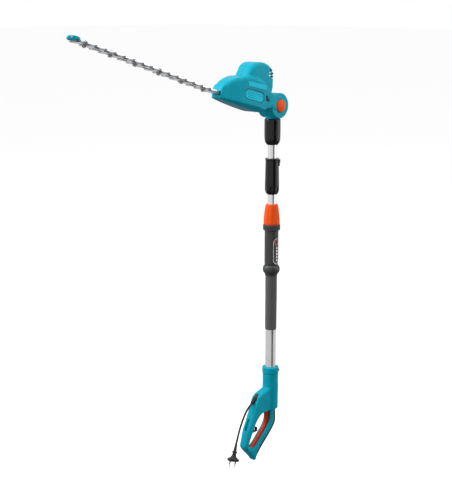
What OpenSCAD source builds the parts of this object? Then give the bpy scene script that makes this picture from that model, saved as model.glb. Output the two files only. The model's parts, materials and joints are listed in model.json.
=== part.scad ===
// Electric pole hedge trimmer: telescopic pole, tilting cutting head and D-shaped rear handle.
// Origin: centre of the foam grip on the pole's axis. +Z points up the pole, the blade points to -X,
// and the release button of the tilt joint faces -Y. All sizes are in millimetres.

/* [Pole] */
// Outer diameter of the lower aluminium tube
outer_tube_d = 31; // [30:0.5:32]
// Outer diameter of the telescopic inner tube
inner_tube_d = 25; // [24:0.5:26]
// Wall of both tubes
tube_wall = 1.5; // [1.2:0.1:1.6]
// Length of the foam grip
foam_len = 158; // [120:1:160]
// Outer diameter of the foam grip
foam_d = 33.6; // [33.2:0.2:36]
// Outer diameter of the front grip
grip_d = 39.2; // [38:0.2:42]

/* [Tilting head] */
// Height of the tilt axis above the middle of the foam grip
tilt_z = 556; // [550:1:565]
// Angle of the blade above a right angle to the pole
blade_angle = 17.5; // [10:0.5:25]
// Radius of the round tilt joint
drum_r = 34.5; // [34:0.5:36]
// Half the width of the tilt joint
drum_half = 28; // [28:0.5:30]
// Wall thickness of the plastic shells
shell_wall = 2.6; // [2:0.1:3]

/* [Blade] */
// Distance between teeth
tooth_pitch = 30.2; // [28:0.1:30.2]
// Number of teeth on each side
tooth_count = 16; // [8:1:16]
// Distance between the bolts through the blades
bolt_pitch = 81.5; // [70:0.5:82]
// Half the overall width across the teeth
tooth_half = 26; // [22:0.5:28]
// Travel of each blade to either side of the middle
blade_throw = 7.5; // [5:0.5:8]

/* [Cord] */
// Diameter of the mains cord
cord_d = 6; // [5:0.5:7]

/* [Hidden] */
$fn = 48;
fit = 0.05;   // radial clearance of a running fit
gap = 0.3;    // clearance between parts that pass each other

teal = [0, 0.58, 0.66];
orange = [0.93, 0.36, 0.1];
black = [0.09, 0.09, 0.1];
grey = [0.25, 0.25, 0.26];
steel = [0.7, 0.71, 0.73];
aluminium = [0.8, 0.81, 0.82];
brass = [0.78, 0.62, 0.3];
copper = [0.72, 0.42, 0.25];

// Heights along the pole
foam_top = foam_len / 2;
grip_top = 209;
cap_bottom = 225;
cap_top = 283;
coupling_bottom = 310;
coupling_top = 411;
sleeve_bottom = 448;
sleeve_top = 520;
handle_top = -190;
tube_r = outer_tube_d / 2;
inner_r = inner_tube_d / 2;

// Heights of the blade stack above the tilt axis, measured square to the blade
blade_t = 2.5;
lower_z = -26.6;
upper_z = lower_z + blade_t + gap;
bar_z = upper_z + blade_t + gap;
bar_t = 3.2;
bolt_r = 2.6;
first_bolt = -278;
first_tooth = -249.5;
root_bolts = [-187, -207];

// Gear train: the eccentrics of the large gear drive both blades
gear_x = -131;
gear_teeth = 48;
pinion_teeth = 9;
gear_module = 1.25;
motor_x = gear_x + gear_module * (gear_teeth + pinion_teeth) / 2;
eccentric_r = 9;

// Screws and cooling slots of the head, in X and Z
screw_spots = [[-196, 8], [-172, -32.5], [-76, -31], [-56, 10], [-139, 60], [-58, 53]];
vent_heights = [62, 70, 78];

// Catch of the coupling and screw of the lower tube, turned about the pole
catch_turn = -50;
tube_screw_turn = -50;

// Height of the thick ring at the bottom of the front grip
grip_ring_z = 97;

// Rear handle, with places in X and Z
handle_half = 15.5;
column_r = 22.6;
pivot = [-80, -424];   // trigger pin, in X and Z
trigger_travel = 3;    // degrees
handle_screw_spots = [[-42, -276], [-92, -350], [-96, -425], [-2, -355]];
hook_z = -360;

// Cord gland and plug, turned about Y
gland_base = [-57, -270];
gland_len = 26;
gland_tilt = -120;
plug_tilt = -164;
pin_spacing = 19;

// The mains cord's route in X and Z, from the gland to the plug
cord_route = [
  [-79.5, -283], [-85.6, -286.4], [-91.9, -291.1], [-98, -296], [-103.7, -302], [-108.8, -308.6],
  [-113.5, -315.5], [-117.8, -322.6], [-121.9, -330], [-125.8, -337.4], [-129.4, -345], [-132.7, -353],
  [-135.7, -361], [-138.6, -369], [-141.6, -377], [-144.5, -385]
];
cord_end = cord_route[len(cord_route) - 1];

// ---------- helpers ----------

// A smooth closed outline through a few points, with n steps between neighbours
function smooth(p, n = 4) = [
  for (i = [0:len(p) - 1], k = [0:n - 1])
    let (a = p[(i + len(p) - 1) % len(p)], b = p[i], c = p[(i + 1) % len(p)], d = p[(i + 2) % len(p)],
         t = k / n)
      0.5 * (2 * b + (c - a) * t + (2 * a - 5 * b + 4 * c - d) * t * t
             + (3 * b - a - 3 * c + d) * t * t * t)
];

// A slab whose outline lies in X and Z, from y0 to y1
module along_y(y0, y1) {
  translate([0, y1, 0]) rotate([90, 0, 0]) linear_extrude(y1 - y0) children();
}

// A cylinder along Y at (x, z)
module rod_y(x, z, r, y0, y1) {
  translate([x, y1, z]) rotate([90, 0, 0]) cylinder(r = r, h = y1 - y0);
}

// A tube with its axis along Z
module tube(r, bore, z0, z1) {
  translate([0, 0, z0]) difference() {
    cylinder(r = r, h = z1 - z0);
    translate([0, 0, -1]) cylinder(r = bore, h = z1 - z0 + 2);
  }
}

// A long hole along X, drawn flat
module stadium(half_len, half_width) {
  square([2 * half_len, 2 * half_width], center = true);
  for (s = [-1, 1]) translate([s * half_len, 0]) circle(r = half_width);
}

// A coil spring drawn as stacked rings, axis along Z
module coil(r, wire_r, length, turns) {
  for (i = [0:turns - 1])
    translate([0, 0, wire_r + i * (length - 2 * wire_r) / (turns - 1)])
      rotate_extrude($fn = 24) translate([r, 0]) circle(r = wire_r, $fn = 14);
}

// A screw with its head at the origin and its shank along -Z
module screw(head_r, shank_r, length) {
  difference() {
    cylinder(r = head_r, h = 2.4);
    translate([0, 0, 1]) cylinder(r = head_r * 0.5, h = 2, $fn = 6);
  }
  translate([0, 0, -length]) cylinder(r = shank_r, h = length);
}

// ---------- cutting head, drawn flat with the tilt axis at the origin ----------

// Puts the flat head on the pole at its angle
module on_head() {
  translate([0, 0, tilt_z]) rotate([0, blade_angle, 0]) children();
}

body_side = smooth([
  [-226, -30], [-220, -37], [-150, -38], [-88, -38], [-68, -33], [-54, -22], [-36, -12],
  [-34, 22], [-46, 24], [-62, 33], [-90, 43], [-119, 46], [-150, 43], [-178, 33], [-204, 18], [-224, -2],
  [-228, -14]
]);
body_plan = smooth([
  [-228, -10], [-224, -18], [-200, -24], [-165, -33], [-125, -37], [-88, -36], [-52, -30], [-26, -28],
  [-26, 28], [-52, 30], [-88, 36], [-125, 37], [-165, 33], [-200, 24], [-224, 18], [-228, 10]
]);
dome_side = smooth([
  [-152, 12], [-152, 36], [-149, 56], [-138, 76], [-118, 89], [-92, 94], [-66, 90], [-50, 80],
  [-45, 62], [-38, 40], [-36, 24], [-38, 12]
]);
dome_plan = smooth([
  [-152, 0], [-148, -20], [-132, -30], [-98, -32], [-64, -30], [-42, -24], [-35, 0],
  [-42, 24], [-64, 30], [-98, 32], [-132, 30], [-148, 20]
]);

// The head's outer form, or its hollow when shrink is the wall
module head_form(shrink = 0) {
  intersection() {
    along_y(-38, 38) offset(delta = -shrink) polygon(body_side);
    translate([0, 0, -45]) linear_extrude(100) offset(delta = -shrink) polygon(body_plan);
  }
  intersection() {
    along_y(-34, 34) offset(delta = -shrink) polygon(dome_side);
    linear_extrude(100) offset(delta = -shrink) polygon(dome_plan);
  }
}

// Both halves of the head shell in one piece
module head_casing() {
  difference() {
    union() {
      difference() {
        head_form();
        head_form(shell_wall);
      }
      intersection() {
        head_form();
        for (s = screw_spots) rod_y(s[0], s[1], 4, -40, 40);
      }
      rod_y(0, 0, drum_r, -drum_half, drum_half);
      along_y(-drum_half, drum_half) polygon([[-50, -12], [0, -12], [0, 22], [-50, 22]]);
    }
    // room for the hub between the cheeks
    rod_y(0, 0, drum_r + 0.6, -20, 20);
    // pivot bore
    rod_y(0, 0, 6, -40, 40);
    // pocket of the release button
    rod_y(0, 0, 18 + gap, -drum_half - 1, -22.5);
    // pocket of the cap on the far side
    rod_y(0, 0, 10.2, 26, drum_half + 1);
    // way through for the lead
    rod_y(-45, 0, 5, -12, 12);
    translate([-60, 0, 0]) rotate([0, 90, 0]) cylinder(r = 5, h = 30);
    // screw holes, with the heads sunk from the far side
    for (s = screw_spots) {
      rod_y(s[0], s[1], 1.6, -22, 40);
      rod_y(s[0], s[1], 3.8, 16, 60);
    }
    // slot for the blades
    translate([-240, -15.5, -29]) cube([30, 31, 13.5]);
    // cooling slots at the back of the dome
    for (z = vent_heights) translate([-60, -34, z]) cube([26, 68, 3.4]);
    // square air inlets on both sides of the neck
    for (s = [-1, 1]) translate([-64, s * 30, 5]) cube([14, 12, 14], center = true);
    // grooved panels on both sides
    for (s = [-1, 1]) translate([-122, s * 36.2, -3]) rotate([90, 0, 0])
      linear_extrude(1.2, center = true) stadium(22, 11);
  }
}

module head_shell_left() {
  color(teal) on_head() intersection() {
    head_casing();
    translate([-260, -60, -60]) cube([320, 60, 170]);
  }
}

module head_shell_right() {
  color(teal) on_head() intersection() {
    head_casing();
    translate([-260, 0, -60]) cube([320, 60, 170]);
  }
}

module head_screws() {
  color(steel) on_head()
    for (s = screw_spots) translate([s[0], 16, s[1]]) rotate([-90, 0, 0]) screw(3.6, 1.55, 34);
}

// One toothed blade drawn flat; shift moves its teeth along the blade
module blade_outline(shift) {
  difference() {
    union() {
      translate([-712, -13]) square([712 - 156, 26]);
      translate([gear_x - 29, -22]) square([58, 44]);
      for (i = [0:tooth_count - 1], side = [-1, 1])
        translate([first_tooth - i * tooth_pitch + shift, 0])
          polygon([[-8, side * 12], [-5, side * tooth_half], [2, side * tooth_half], [9, side * 12]]);
    }
    for (i = [0:5]) translate([first_bolt - i * bolt_pitch, 0]) stadium(blade_throw + 0.5, bolt_r + gap);
    for (x = root_bolts) translate([x, 0]) stadium(blade_throw + 0.5, bolt_r + gap);
    translate([gear_x - 24.5, -17.5]) square([49, 35]);
    for (i = [0:5]) translate([first_bolt - (i + 0.5) * bolt_pitch, 0]) stadium(12, 3.5);
  }
}

module blade_upper() {
  color(steel) on_head() translate([0, 0, upper_z]) linear_extrude(blade_t) blade_outline(3);
}

module blade_lower() {
  color(steel) on_head() translate([0, 0, lower_z]) linear_extrude(blade_t) blade_outline(-3);
}

module guide_bar() {
  color(aluminium) on_head() translate([0, 0, bar_z]) linear_extrude(bar_t) difference() {
    union() {
      translate([-724, -9]) square([724 - 168, 18]);
      translate([-724, 0]) circle(r = 9);
      translate([-215, -13]) square([47, 26]);
    }
    for (i = [0:5]) translate([first_bolt - i * bolt_pitch, 0]) circle(r = bolt_r);
    for (x = root_bolts) translate([x, 0]) circle(r = bolt_r);
    translate([-722, 0]) circle(r = 2.1);
  }
}

// Bolt through the stack: domed head above the bar, washer and nut below the blades
module blade_bolt() {
  translate([0, 0, lower_z - 6]) cylinder(r = bolt_r, h = bar_z + bar_t - lower_z + 6);
  translate([0, 0, bar_z + bar_t]) rotate_extrude() intersection() {
    translate([0, -3.2]) circle(r = 6.2);
    square([6, 3]);
  }
  translate([0, 0, lower_z - 1.3]) cylinder(r = 6, h = 1);
  translate([0, 0, lower_z - 5.3]) cylinder(r = 5, h = 4, $fn = 6);
}

module blade_bolts() {
  color(steel) on_head() {
    for (i = [0:5]) translate([first_bolt - i * bolt_pitch, 0, 0]) blade_bolt();
    for (x = root_bolts) translate([x, 0, 0]) {
      translate([0, 0, -33.8]) cylinder(r = bolt_r, h = bar_z + bar_t + 33.8);
      translate([0, 0, bar_z + bar_t]) cylinder(r = 5, h = 3);
    }
  }
}

tip_outline = smooth([
  [-738, 0], [-733, -7.5], [-724, -11.3], [-713, -11.6], [-705, -8.5], [-705, 8.5], [-713, 11.6],
  [-724, 11.3], [-733, 7.5]
]);
tip_side = smooth([
  [-739, -23], [-735, -18], [-727, -14.8], [-717, -14], [-708, -15.6], [-705, -19], [-705, -26], [-736, -26]
]);

// Almond-shaped cap that keeps the tip from biting into the ground
module blade_tip_guard() {
  color(teal) on_head() difference() {
    intersection() {
      along_y(-14, 14) polygon(tip_side);
      translate([0, 0, -28]) linear_extrude(16) polygon(tip_outline);
    }
    // hollow over the bar's end
    translate([-734, -9.2, bar_z]) cube([40, 18.4, bar_t]);
    // the blades run under it
    translate([-722.5, -20, -30]) cube([40, 40, 9]);
    translate([-722, 0, -30]) cylinder(r = 2.1, h = 30);
  }
}

module blade_wiper() {
  color(grey) on_head() difference() {
    translate([-224, -15.4, -28.9]) cube([5, 30.8, 13.3]);
    translate([-226, -13 - gap, lower_z - gap]) cube([9, 26 + 2 * gap, bar_z - lower_z + gap]);
    translate([-226, -13, bar_z - 0.1]) cube([9, 26, bar_t + 0.1]);
  }
}

module gearbox_plate() {
  color(aluminium) on_head() difference() {
    union() {
      translate([-214, -17, -33.8]) cube([46, 34, 3]);
      translate([-170, -28, -33.8]) cube([74, 56, 3]);
      for (x = root_bolts) translate([x, 0, -33.8]) cylinder(r = 6, h = 33.8 + lower_z - gap);
    }
    for (x = root_bolts) translate([x, 0, -40]) cylinder(r = bolt_r, h = 30);
    translate([gear_x, 0, -40]) cylinder(r = 7, h = 20);
    for (s = screw_spots) rod_y(s[0], s[1], 4.3, -40, 40);
  }
}

module motor_plate() {
  color(aluminium) on_head() difference() {
    translate([-160, -29, 1]) cube([90, 58, 3]);
    translate([gear_x, 0, -5]) cylinder(r = 7, h = 20);
    translate([motor_x, 0, -5]) cylinder(r = 8, h = 20);
    for (s = [-1, 1], x = [-152, -78]) translate([x, s * 23, -5]) cylinder(r = 2, h = 20);
  }
}

// A spur gear outline with straight-sided teeth
module spur(teeth, m, backlash) {
  pitch_r = teeth * m / 2;
  root = pitch_r - 1.25 * m;
  step = 360 / teeth;
  half_root = 90 / teeth * 1.45;
  half_tip = 90 / teeth * 0.55 - backlash;
  polygon([
    for (i = [0:teeth - 1], c = [[root, -half_root], [pitch_r + m, -half_tip], [pitch_r + m, half_tip],
                                 [root, half_root]])
      c[0] * [cos(i * step + c[1]), sin(i * step + c[1])]
  ]);
}

module drive_gear() {
  color(steel) on_head() translate([gear_x, 0, 0]) difference() {
    union() {
      translate([0, 0, -12]) linear_extrude(8) spur(gear_teeth, gear_module, 0.35);
      translate([0, 0, -14]) cylinder(r = 12, h = 11);
      translate([blade_throw, 0, upper_z - gap / 2]) cylinder(r = eccentric_r, h = gap / 2 - upper_z - 12);
      translate([-blade_throw, 0, lower_z]) cylinder(r = eccentric_r, h = blade_t + gap / 2);
    }
    translate([0, 0, -40]) cylinder(r = 4, h = 60);
    for (a = [0:60:300]) rotate(a) translate([20, 0, -13]) cylinder(r = 5, h = 10);
  }
}

module gear_shaft() {
  color(steel) on_head() translate([gear_x, 0, -34.5]) cylinder(r = 4, h = 39);
}

module gear_bushes() {
  color(brass) on_head() translate([gear_x, 0, 0]) {
    translate([0, 0, -34]) difference() {
      cylinder(r = 7, h = 4);
      translate([0, 0, -1]) cylinder(r = 4 + fit, h = 6);
    }
    translate([0, 0, 0.6]) difference() {
      cylinder(r = 7, h = 4);
      translate([0, 0, -1]) cylinder(r = 4 + fit, h = 6);
    }
  }
}

module motor_stator() {
  color(grey) on_head() translate([motor_x, 0, 0]) {
    translate([0, 0, 34]) difference() {
      intersection() {
        cylinder(r = 26, h = 30);
        translate([-23, -27, 0]) cube([46, 54, 30]);
      }
      translate([0, 0, -1]) cylinder(r = 16.5, h = 32);
    }
  }
  color(copper) on_head() translate([motor_x, 0, 0]) for (z = [28, 64]) translate([0, 0, z]) difference() {
    cylinder(r = 22, h = 6);
    translate([0, 0, -1]) cylinder(r = 17, h = 8);
  }
}

module armature() {
  color(grey) on_head() translate([motor_x, 0, 0]) {
    difference() {
      union() {
        translate([0, 0, -14]) cylinder(r = 3, h = 100);
        translate([0, 0, 34]) cylinder(r = 16, h = 30);
        translate([0, 0, 28]) cylinder(r = 13, h = 42);
        translate([0, 0, 71]) cylinder(r = 8.5, h = 7);
      }
      for (a = [0:30:330]) rotate(a) translate([15.6, 0, 33]) cylinder(r = 1.3, h = 32);
    }
  }
}

module motor_pinion() {
  color(steel) on_head() translate([motor_x, 0, -13]) difference() {
    linear_extrude(10) spur(pinion_teeth, gear_module, 1.6);
    translate([0, 0, -1]) cylinder(r = 3, h = 12);
  }
}

module motor_fan() {
  color(black) on_head() translate([motor_x, 0, 14]) difference() {
    union() {
      cylinder(r = 24, h = 1.6);
      cylinder(r = 6, h = 12);
      for (a = [0:30:330]) rotate(a) translate([7, -0.6, 0]) cube([16, 1.2, 10]);
    }
    translate([0, 0, -1]) cylinder(r = 3, h = 14);
  }
}

module ball_bearing(bore, outer, width) {
  difference() {
    cylinder(r = outer, h = width);
    translate([0, 0, -1]) cylinder(r = bore, h = width + 2);
    translate([0, 0, width - 0.8]) difference() {
      cylinder(r = outer - 1.6, h = 1);
      translate([0, 0, -1]) cylinder(r = bore + 1.6, h = 3);
    }
  }
}

module motor_bearings() {
  color(steel) on_head() for (z = [1, 79.5]) translate([motor_x, 0, z]) ball_bearing(3 + fit, 8, 6);
}

module brush_holders() {
  color(brass) on_head() for (s = [-1, 1]) translate([motor_x, s * 18, 74.5]) difference() {
    cube([9, 14, 7], center = true);
    cube([6, 16, 4.6], center = true);
  }
}

module carbon_brushes() {
  color(black) on_head() for (s = [-1, 1]) translate([motor_x, s * 16, 74.5]) cube([6, 14, 4.6], center = true);
}

module motor_lead() {
  color(black) on_head() {
    translate([-65.5, 0, 0]) rotate([0, 90, 0]) cylinder(r = 2.6, h = 27);
    translate([-65.5, 0, 0]) sphere(r = 2.6);
    translate([-65.5, 0, 0]) cylinder(r = 2.6, h = 72);
  }
}

// ---------- tilt joint ----------

module tilt_hub() {
  color(teal) translate([0, 0, tilt_z]) difference() {
    union() {
      rod_y(0, 0, drum_r - 0.3, -19.7, 19.7);
      translate([0, 0, -66]) cylinder(r = 17, h = 50);
    }
    rod_y(0, 0, 6 + fit, -30, 30);
    // seat of the detent ring
    rod_y(0, 0, 18, -21, -15.7);
    // way for the lead
    translate([0, 0, -80]) cylinder(r = 6, h = 68);
  }
}

module tilt_pin() {
  color(steel) on_head() rod_y(0, 0, 6, -22.5, 26);
}

module detent_ring() {
  color(steel) translate([0, -15.7, tilt_z]) rotate([90, 0, 0]) difference() {
    cylinder(r = 18, h = 3.4);
    translate([0, 0, -1]) cylinder(r = 12, h = 6);
    for (a = [0:15:345]) rotate(a) translate([12.6, 0, -1]) cylinder(r = 1.1, h = 6);
  }
}

module tilt_button() {
  color(orange) on_head() rotate([90, 0, 0]) difference() {
    translate([0, 0, 26.2]) rotate_extrude() intersection() {
      translate([0, -30.8]) circle(r = 40);
      square([18, 12]);
    }
    translate([0, 0, 25]) cylinder(r = 14, h = 7.6);
  }
}

module tilt_button_spring() {
  color(steel) on_head() rotate([90, 0, 0]) translate([0, 0, 22.5]) coil(10, 0.8, 6.2, 4);
}

module tilt_cap() {
  color(black) on_head() rotate([-90, 0, 0]) translate([0, 0, 26]) difference() {
    rotate_extrude() intersection() {
      translate([0, -16.6]) circle(r = 20);
      square([10, 5]);
    }
    translate([0, 0, 2]) cylinder(r = 3, h = 4, $fn = 6);
  }
}

// ---------- upper pole ----------

module adaptor_sleeve() {
  color(black) difference() {
    rotate_extrude() polygon([
      [inner_r, sleeve_bottom], [15.5, sleeve_bottom], [20.5, sleeve_bottom + 7], [22, sleeve_bottom + 14],
      [22.4, sleeve_bottom + 30], [22.4, sleeve_top - 2], [21, sleeve_top], [inner_r, sleeve_top]
    ]);
    translate([0, 0, tilt_z - 66]) cylinder(r = 17, h = 60);
  }
}

module head_tube() {
  color(aluminium) tube(inner_r, inner_r - tube_wall, 372, tilt_z - 66);
}

module coupling_sleeve() {
  color(black) difference() {
    rotate_extrude() polygon([
      [inner_r, coupling_bottom], [14.2, coupling_bottom], [18, coupling_bottom + 5],
      [19.8, coupling_bottom + 12], [20, coupling_bottom + 20], [18.6, coupling_top - 10],
      [18.6, coupling_top - 6], [19.4, coupling_top - 5], [19.4, coupling_top - 1],
      [18.6, coupling_top], [inner_r, coupling_top]
    ]);
    // scalloped lower edge
    for (a = [0:60:300]) rotate(a + 30) translate([24.2, 0, coupling_bottom - 2]) cylinder(r = 6.5, h = 12);
    // pocket of the catch
    rotate(catch_turn) translate([14, -4.4, coupling_top - 22]) cube([8, 8.8, 18.4]);
  }
}

module coupling_catch() {
  color(black) rotate(catch_turn) translate([0, 0, coupling_top - 21.7]) {
    translate([16.6, -4.1, 0]) cube([4.6, 8.2, 17.8]);
    translate([21.1, -4.1, 9]) cube([1.4, 8.2, 8.8]);
  }
}

module coupling_socket() {
  color(grey) difference() {
    translate([0, 0, 338]) cylinder(r = inner_r - tube_wall, h = 23.9);
    for (s = [-1, 1]) translate([s * 5, 0, 350]) cylinder(r = 1.6, h = 20);
  }
}

module coupling_plug() {
  color(brass) for (s = [-1, 1]) translate([s * 5, 0, 351]) cylinder(r = 1.5, h = 12);
  color(grey) translate([0, 0, 362.1]) cylinder(r = inner_r - tube_wall, h = 24);
}

module inner_tube() {
  color(aluminium) tube(inner_r, inner_r - tube_wall, -215, 361);
}

module guide_bush() {
  color(black) difference() {
    union() {
      tube(tube_r - tube_wall - fit, inner_r, -215, -185);
      tube(tube_r - tube_wall - fit, 8, -219, -215);
    }
    for (a = [0:90:270]) rotate(a) translate([tube_r - tube_wall, 0, -230]) cylinder(r = 0.8, h = 60, $fn = 16);
  }
}

module coiled_lead() {
  color(black) translate([0, 0, -250]) cylinder(r = 9, h = 30);
}

// ---------- clamp and front grip ----------

module clamp_cap() {
  color(orange) difference() {
    rotate_extrude() polygon([
      [0, cap_bottom + 0.3], [23.2, cap_bottom + 0.3], [23.3, cap_bottom + 6], [21.6, cap_bottom + 26],
      [20, cap_bottom + 40], [18.2, cap_top - 8], [16.6, cap_top - 2.5], [14.4, cap_top], [0, cap_top]
    ]);
    translate([0, 0, cap_bottom - 1]) cylinder(r = 18.2 + gap, h = 38);
    translate([0, 0, cap_bottom - 1]) cylinder(r = 15.8, h = 47);
    translate([0, 0, cap_bottom]) cylinder(r = inner_r + gap, h = 80);
    for (a = [0:30:330]) rotate(a) translate([22.4, 0, cap_bottom + 17]) rotate(45) cube([2, 2, 36], center = true);
  }
}

module clamp_collet() {
  color(grey) difference() {
    union() {
      tube(15.4, inner_r + fit, 233, 256);
      tube(17, inner_r + fit, 233, 236);
    }
    translate([8, -1, 236]) cube([12, 2, 30]);
  }
}

module clamp_base() {
  color(grey) difference() {
    union() {
      rotate_extrude() polygon([
        [tube_r, grip_top], [23.2, grip_top], [24.2, grip_top + 2.5], [24.2, cap_bottom - 2],
        [23, cap_bottom], [tube_r, cap_bottom]
      ]);
      tube(18.2, tube_r, cap_bottom, 233);
      tube(18.2, 17.1, 233, 258);
    }
    for (a = [0:20:340]) rotate(a) translate([25.3, 0, grip_top - 1]) cylinder(r = 1.8, h = 11, $fn = 16);
  }
}

module front_grip() {
  color(grey) rotate_extrude() polygon(concat(
    [[tube_r, foam_top], [17.6, foam_top], [18.4, foam_top + 5]],
    [for (a = [-60:15:60]) [14.5 + 9.8 * cos(a), grip_ring_z + 14 * sin(a)]],
    [[grip_d / 2, grip_ring_z + 17], [grip_d / 2, grip_top - 3], [grip_d / 2 - 1.4, grip_top], [tube_r, grip_top]]
  ));
}

module grip_label() {
  color([0.86, 0.86, 0.87]) intersection() {
    tube(grip_d / 2 + 0.5, grip_d / 2, 105, 195);
    translate([0, 0, 150]) rotate([90, 90, 0]) linear_extrude(30) stadium(25, 12);
  }
}

module foam_grip() {
  color(grey) rotate_extrude() polygon([
    [tube_r, -foam_top], [foam_d / 2 - 0.4, -foam_top], [foam_d / 2, -foam_top + 3],
    [foam_d / 2, foam_top], [tube_r, foam_top]
  ]);
}

module outer_tube() {
  color(aluminium) tube(tube_r, tube_r - tube_wall, -254, 232);
}

// ---------- rear handle ----------

loop_outer = smooth([
  [-20, -244], [-34, -255], [-52, -263], [-63, -276], [-81, -308], [-95, -337], [-106, -358], [-112, -380],
  [-118, -403], [-108, -418], [-88, -441], [-79, -452], [-71, -454], [-66, -442], [-44, -418], [-22, -398],
  [0, -376], [11, -360], [13, -342], [12, -322], [18, -313], [20, -290], [20, -244]
], 3);
loop_inner = smooth([
  [-48, -319], [-30, -318], [-14, -320], [-14, -344], [-23, -362], [-44, -383], [-70, -406], [-86, -414],
  [-98, -413], [-106, -405], [-103, -396], [-94, -377], [-85, -360], [-76, -343], [-63, -328]
], 3);
// Back edge of the rear branch, covered by the soft pad
pad_outline = [
  [12.4, -326], [12.6, -342], [10.6, -359], [-0.5, -375.6], [-22.4, -397.6], [-44, -417.6], [-64, -438],
  [-68, -433], [-48.6, -413], [-26.8, -393], [-5.6, -371.6], [4.8, -356.4], [6.4, -342], [6.2, -326]
];

lever_outline = smooth([
  [-24, -306], [-22, -330], [-22, -349], [-31, -366], [-50, -385], [-75, -407], [-84, -417],
  [-86, -424], [-82, -430], [-75, -427], [-66, -413], [-42, -391], [-22, -371], [-12, -352], [-12, -330],
  [-13, -306]
], 3);

// The lever's outline turned about its pin
module lever_at(turn, grow = 0) {
  translate(pivot) rotate(-turn) translate(-pivot) offset(delta = grow) polygon(lever_outline);
}

module handle_casing() {
  difference() {
    union() {
      // column around the tube
      difference() {
        union() {
          translate([0, 0, -314]) cylinder(r = column_r, h = 314 + handle_top - 10);
          translate([0, 0, handle_top - 18]) cylinder(r = 23.8, h = 13);
          translate([0, 0, handle_top - 5.1]) rotate_extrude() polygon([[0, 0], [23.8, 0], [21, 5.1], [0, 5.1]]);
        }
        translate([0, 0, -311.4]) cylinder(r = column_r - shell_wall, h = 57.4);
      }
      // loop
      difference() {
        along_y(-handle_half, handle_half) difference() {
          polygon(loop_outer);
          polygon(loop_inner);
        }
        along_y(-handle_half + shell_wall, handle_half - shell_wall) difference() {
          offset(delta = -shell_wall) polygon(loop_outer);
          offset(delta = shell_wall) polygon(loop_inner);
          translate([-30, -254]) square([60, 40]);
        }
        translate([0, 0, -311.4]) cylinder(r = column_r - shell_wall, h = 57.4);
      }
      intersection() {
        for (s = handle_screw_spots) rod_y(s[0], s[1], 3.6, -handle_half, handle_half);
        along_y(-handle_half, handle_half) polygon(loop_outer);
      }
    }
    // bore for the outer tube
    translate([0, 0, -254]) cylinder(r = tube_r, h = 100);
    // soft pad on the back
    along_y(-handle_half - 1, handle_half + 1) polygon(pad_outline);
    // slot and swing room of the trigger lever
    along_y(-7.4, 7.4) for (t = [0, trigger_travel]) lever_at(t, 0.8);
    rod_y(pivot[0], pivot[1], 2, -14, 14);
    // screw holes with sunk heads on the far side
    for (s = handle_screw_spots) {
      rod_y(s[0], s[1], 1.6, -12, 20);
      rod_y(s[0], s[1], 3.4, 11, 30);
    }
    // recess on the front branch
    translate([-103.5, 0, -340]) rotate([0, 24, 0]) cube([9, 10, 36], center = true);
    // gland seat
    at_gland() translate([0, 0, -6]) cylinder(r = 8.2, h = 26);
    // lock-off button
    rod_y(2, -288, 7 + gap, 12, 40);
    // tube screw
    rotate(tube_screw_turn) translate([12, 0, handle_top - 11]) rotate([0, 90, 0]) cylinder(r = 2, h = 20);
    // seat of the cable hook
    translate([-86, -11, hook_z - 7]) cube([4, 8, 14]);
  }
}

module handle_shell_left() {
  color(teal) intersection() {
    handle_casing();
    translate([-150, -40, -480]) cube([200, 40, 320]);
  }
}

module handle_shell_right() {
  color(teal) intersection() {
    handle_casing();
    translate([-150, 0, -480]) cube([200, 40, 320]);
  }
}

module handle_screws() {
  color(steel) for (s = handle_screw_spots) translate([s[0], 11, s[1]]) rotate([-90, 0, 0]) screw(3.2, 1.55, 20);
}

module tube_screw() {
  color(black) rotate(tube_screw_turn) translate([23.9, 0, handle_top - 11]) rotate([0, 90, 0]) screw(4, 1.9, 8);
}

module trigger_lever() {
  color(orange) difference() {
    along_y(-6.6, 6.6) lever_at(0);
    rod_y(pivot[0], pivot[1], 2 + fit, -10, 10);
  }
}

module trigger_pin() {
  color(steel) rod_y(pivot[0], pivot[1], 2, -12, 12);
}

module trigger_spring() {
  color(steel) translate([pivot[0], 12.4, pivot[1]]) rotate([90, 0, 0]) coil(3.3, 0.6, 4.6, 4);
}

module lock_button() {
  color(black) {
    rod_y(2, -288, 7, 17.5, 26);
    rod_y(2, -288, 2.4, 8, 17.5);
  }
}

module switch_case() {
  color(black) difference() {
    translate([-3, -6, -308]) cube([20, 12, 16]);
    translate([-4, 0, -301]) rotate([0, 90, 0]) cylinder(r = 1.8 + fit, h = 14);
  }
}

module switch_plunger() {
  color(orange) translate([-10, 0, -301]) rotate([0, 90, 0]) cylinder(r = 1.8, h = 13);
}

module capacitor() {
  color([0.85, 0.7, 0.2]) translate([-12, 0, -268]) rotate([0, 90, 0]) cylinder(r = 8, h = 26);
}

module grip_pad() {
  color(black) along_y(-handle_half, handle_half) polygon(pad_outline);
}

module cable_hook() {
  color(black) {
    translate([-86, -11, hook_z - 7]) cube([4, 8, 14]);
    translate([-82, -11, hook_z - 7]) cube([15.5, 8, 5]);
    translate([-71, -11, hook_z - 7]) cube([4.5, 8, 13]);
  }
}

// The gland's own frame: its base at the origin, pointing out along +Z
module at_gland() {
  translate([gland_base[0], 0, gland_base[1]]) rotate([0, gland_tilt, 0]) children();
}

module cord_gland() {
  color(black) at_gland() rotate_extrude() polygon([
    [cord_d / 2, -6], [8.2, -6], [8.2, 8], [6.6, 10], [4.4, gland_len], [cord_d / 2, gland_len]
  ]);
}

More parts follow.
